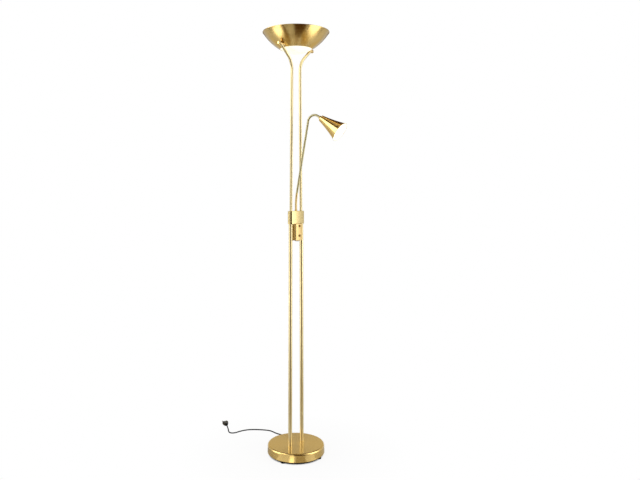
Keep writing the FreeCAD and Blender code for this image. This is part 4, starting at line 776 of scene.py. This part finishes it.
outside = np.concatenate([
    [(shade["bore"], 0)],
    arc(backCentre, shade["round"], -90, -8, 8),
    flareArc(shade["curve"], 60),
    arc(beadCentre, shade["bead"], -10, 200, 14),
])
inside = np.concatenate([
    flareArc(shade["curve"] + shade["wall"], 50)[::-1],
    arc(backCentre, shade["round"] - shade["wall"], -8, -90, 6),
    [(shade["bore"], shade["wall"])],
])
profile = np.concatenate([outside, inside])
# the shade's inside is lined with the enamel, whose glow is painted light standing in for the bulb's
skin("shade_cone", turnedGrid(profile, shade["base"], shade["axis"], 128), "reading_head", "brass_spun",
     spunBrass, loop=True, replaced=["reading_shade"],
     lining=(glowingEnamel, len(outside) - shade["enamelledRings"], len(profile)))
print("shade made")


# studio: white floor and surround, three softboxes, and cards that only reflections see

studio = {
    "floor": ("#f4f4f4", "#f7f7f7"), "floorHalf": 14,  # metres
    # how white the floor shows to the camera, at two distances in metres from the middle, with its
    # shading from the one to the other; inside "covered" it is under the base
    "shadow": (0.15, 0.5), "shadowWhite": 0.92, "covered": 0.112, "coveredEdge": 0.007, "coveredWhite": 0.1,
    "ambient": 0.35, "left_high": 2.7, "left_low": 2.9, "right": 2.2,  # brightness, white = 1
}


def around(bearing, distance, height):
    # a place at that bearing from the camera's, as the lamp sees it, growing to the picture's right
    a = math.radians(camera["turn"] - 90 + bearing)
    return (math.cos(a) * distance, math.sin(a) * distance, height)


def staged(name, points, faces, material):
    # a plain mesh that belongs to the studio and not to the lamp
    mesh = bpy.data.meshes.new(name)
    mesh.from_pydata(points, [], faces)
    mesh.materials.append(material)
    piece = bpy.data.objects.new(name, mesh)
    scene.collection.objects.link(piece)
    return piece


floorPaint, tree, shader = newMaterial("studio_floor", Roughness=0.6)
place = addNode(tree, "TexCoord").outputs["Object"]
dust = addNode(tree, "TexNoise", {"Vector": place, "Scale": 3.0}).outputs[0]
clean, dusty = (toLinear(colour) for colour in studio["floor"])
painted = addNode(tree, "Mix", {0: dust, 6: clean, 7: dusty}, data_type="RGBA")
tree.links.new(painted.outputs[2], shader.inputs["Base Color"])
path = addNode(tree, "LightPath")
glow = addNode(tree, "Emission", {"Color": (1, 1, 1, 1), "Strength": 1.0})
away = addNode(tree, "VectorMath", {0: place}, operation="LENGTH").outputs["Value"]
near, far = studio["shadow"]
fade = addNode(tree, "MapRange", {0: away, 1: near, 2: far, 3: studio["shadowWhite"], 4: 1.0})
near, far = studio["covered"], studio["covered"] + studio["coveredEdge"]
clear = addNode(tree, "MapRange", {0: away, 1: near, 2: far, 3: studio["coveredWhite"], 4: 1.0})
faded = addNode(tree, "Math", {0: fade.outputs[0], 1: clear.outputs[0]}, operation="MULTIPLY")
seen = addNode(tree, "Math", {0: path.outputs["Is Camera Ray"], 1: faded.outputs[0]}, operation="MULTIPLY")
mix = addNode(tree, "MixShader", {0: seen.outputs[0], 1: shader.outputs[0], 2: glow.outputs[0]})
tree.links.new(mix.outputs[0], tree.nodes["Material Output"].inputs["Surface"])
f = studio["floorHalf"]
staged("studio_floor", [(-f, -f, 0), (f, -f, 0), (f, f, 0), (-f, f, 0)], [(0, 1, 2, 3)], floorPaint)

# the surround is plain white to the camera, to gloss and through glass, and dimmer as a light
world = bpy.data.worlds.new("studio_surround")
scene.world = world
world.use_nodes = True
tree = world.node_tree
path = addNode(tree, "LightPath")
shown = path.outputs["Is Camera Ray"]
for ray in ("Is Glossy Ray", "Is Transmission Ray"):
    shown = addNode(tree, "Math", {0: shown, 1: path.outputs[ray]}, operation="MAXIMUM").outputs[0]
plain = addNode(tree, "Background", {"Color": (1, 1, 1, 1), "Strength": studio["ambient"]})
white = addNode(tree, "Background", {"Color": (1, 1, 1, 1), "Strength": 1.0})
mix = addNode(tree, "MixShader", {0: shown, 1: plain.outputs[0], 2: white.outputs[0]})
tree.links.new(mix.outputs[0], tree.nodes["World Output"].inputs["Surface"])


def softbox(name, bearing, distance, height, size):
    # a flat lamp that looks level at the middle; its brightness is power / (pi area)
    place = Vector(around(bearing, distance, height))
    data = bpy.data.lights.new(name, "AREA")
    data.shape = "RECTANGLE"
    data.size, data.size_y = size
    data.energy = studio[name] * math.pi * size[0] * size[1]
    lamp = bpy.data.objects.new("softbox_" + name, data)
    lamp.location = place
    lamp.rotation_euler = (Vector((0, 0, height)) - place).to_track_quat("-Z", "Y").to_euler()
    scene.collection.objects.link(lamp)


def reflectedCard(name, first, last, near, far, colour, strength=1.0):
    # a curved card between two bearings, from one (radius, height) in metres to another
    material, tree, shader = newMaterial(name)
    glow = addNode(tree, "Emission", {"Color": toLinear(colour), "Strength": strength})
    tree.links.new(glow.outputs[0], tree.nodes["Material Output"].inputs["Surface"])
    points = [around(a, *edge) for edge in (near, far) for a in np.linspace(first, last, 13)]
    faces = [(i, i + 1, i + 14, i + 13) for i in range(12)]
    piece = staged(name, points, faces, material)
    piece.visible_camera = piece.visible_diffuse = piece.visible_shadow = piece.visible_transmission = False


softbox("left_high", -80, 1.4, 2.2, (1.7, 1.2))
softbox("left_low", -82, 1.4, 0.47, (0.95, 0.84))
softbox("right", 77, 1.4, 1.25, (1.0, 2.4))
# What the brass shows between the boxes: round the base a pale pool of floor, with three duller wedges
# and a glint; dark floor and a dark card in front, and dark overhead; paler ends beside and behind the
# boxes; pale behind, low down, and dark above that. Each is its name, its two bearings, its near and far
# edge in metres, its colour, and its brightness where that isn't 1
cards = (
    ("pool", -110, 110, (0.135, 0.001), (0.3, 0.001), "#ececec"),
    ("pool_front", -1, 25, (0.13, 0.002), (0.24, 0.002), "#b4aa94"),
    ("pool_glint", -16, -5, (0.13, 0.002), (0.22, 0.002), "#fffaf0", 2.3),
    ("pool_left", -110, -50, (0.13, 0.002), (0.22, 0.002), "#aca89c"),
    ("pool_right", 52, 110, (0.13, 0.002), (0.22, 0.002), "#c0bcb0"),
    ("floor_near", -9, 45, (0.3, 0.002), (0.65, 0.002), "#786232"),
    ("floor_front", -9, 45, (0.65, 0.002), (3.2, 0.002), "#4c3000"),
    ("floor_left", -49, -9, (0.4, 0.002), (0.65, 0.002), "#786230"),
    ("floor_side", -64, -49, (0.6, 0.002), (3.2, 0.002), "#5a3c08"),
    ("floor_end_left", -135, -64, (0.45, 0.002), (1.2, 0.002), "#a08a54"),
    ("floor_end_right", 45, 135, (0.45, 0.002), (1.2, 0.002), "#b8a470"),
    ("left_end", -112, -101, (1.4, 0.1), (1.4, 1.0), "#f4f4f4"),
    ("left_behind", -132, -112, (1.4, 0.1), (1.4, 1.3), "#c8c8c8"),
    ("right_end", 97, 112, (1.4, 0.1), (1.4, 0.8), "#f4f4f4"),
    ("right_behind", 112, 134, (1.4, 0.1), (1.4, 1.3), "#d8d8d8"),
    ("front", -9, 45, (3.2, 0), (3.2, 3.6), "#463008"),
    ("over_front", -45, 45, (0.7, 3.6), (3.2, 3.6), "#402800"),
    ("over_left", -110, -45, (0.95, 3.6), (2.1, 3.6), "#301c00"),
    ("back_low", 130, 230, (1.6, 0.4), (1.6, 1.25), "#d2c8a5"),
    ("back", 120, 240, (3.2, 0.6), (3.2, 1.9), "#c8c8c8"),
    ("back_high", 120, 240, (3.2, 1.9), (3.2, 4.2), "#4a3000"),
    ("over_back", 100, 250, (0.02, 4.2), (3.2, 4.2), "#4a3000"),
    ("over_top", -110, 100, (0.02, 4.2), (0.45, 4.2), "#4a3000"),
)
for name, *card in cards:
    reflectedCard("card_" + name, *card)
print("studio lit")
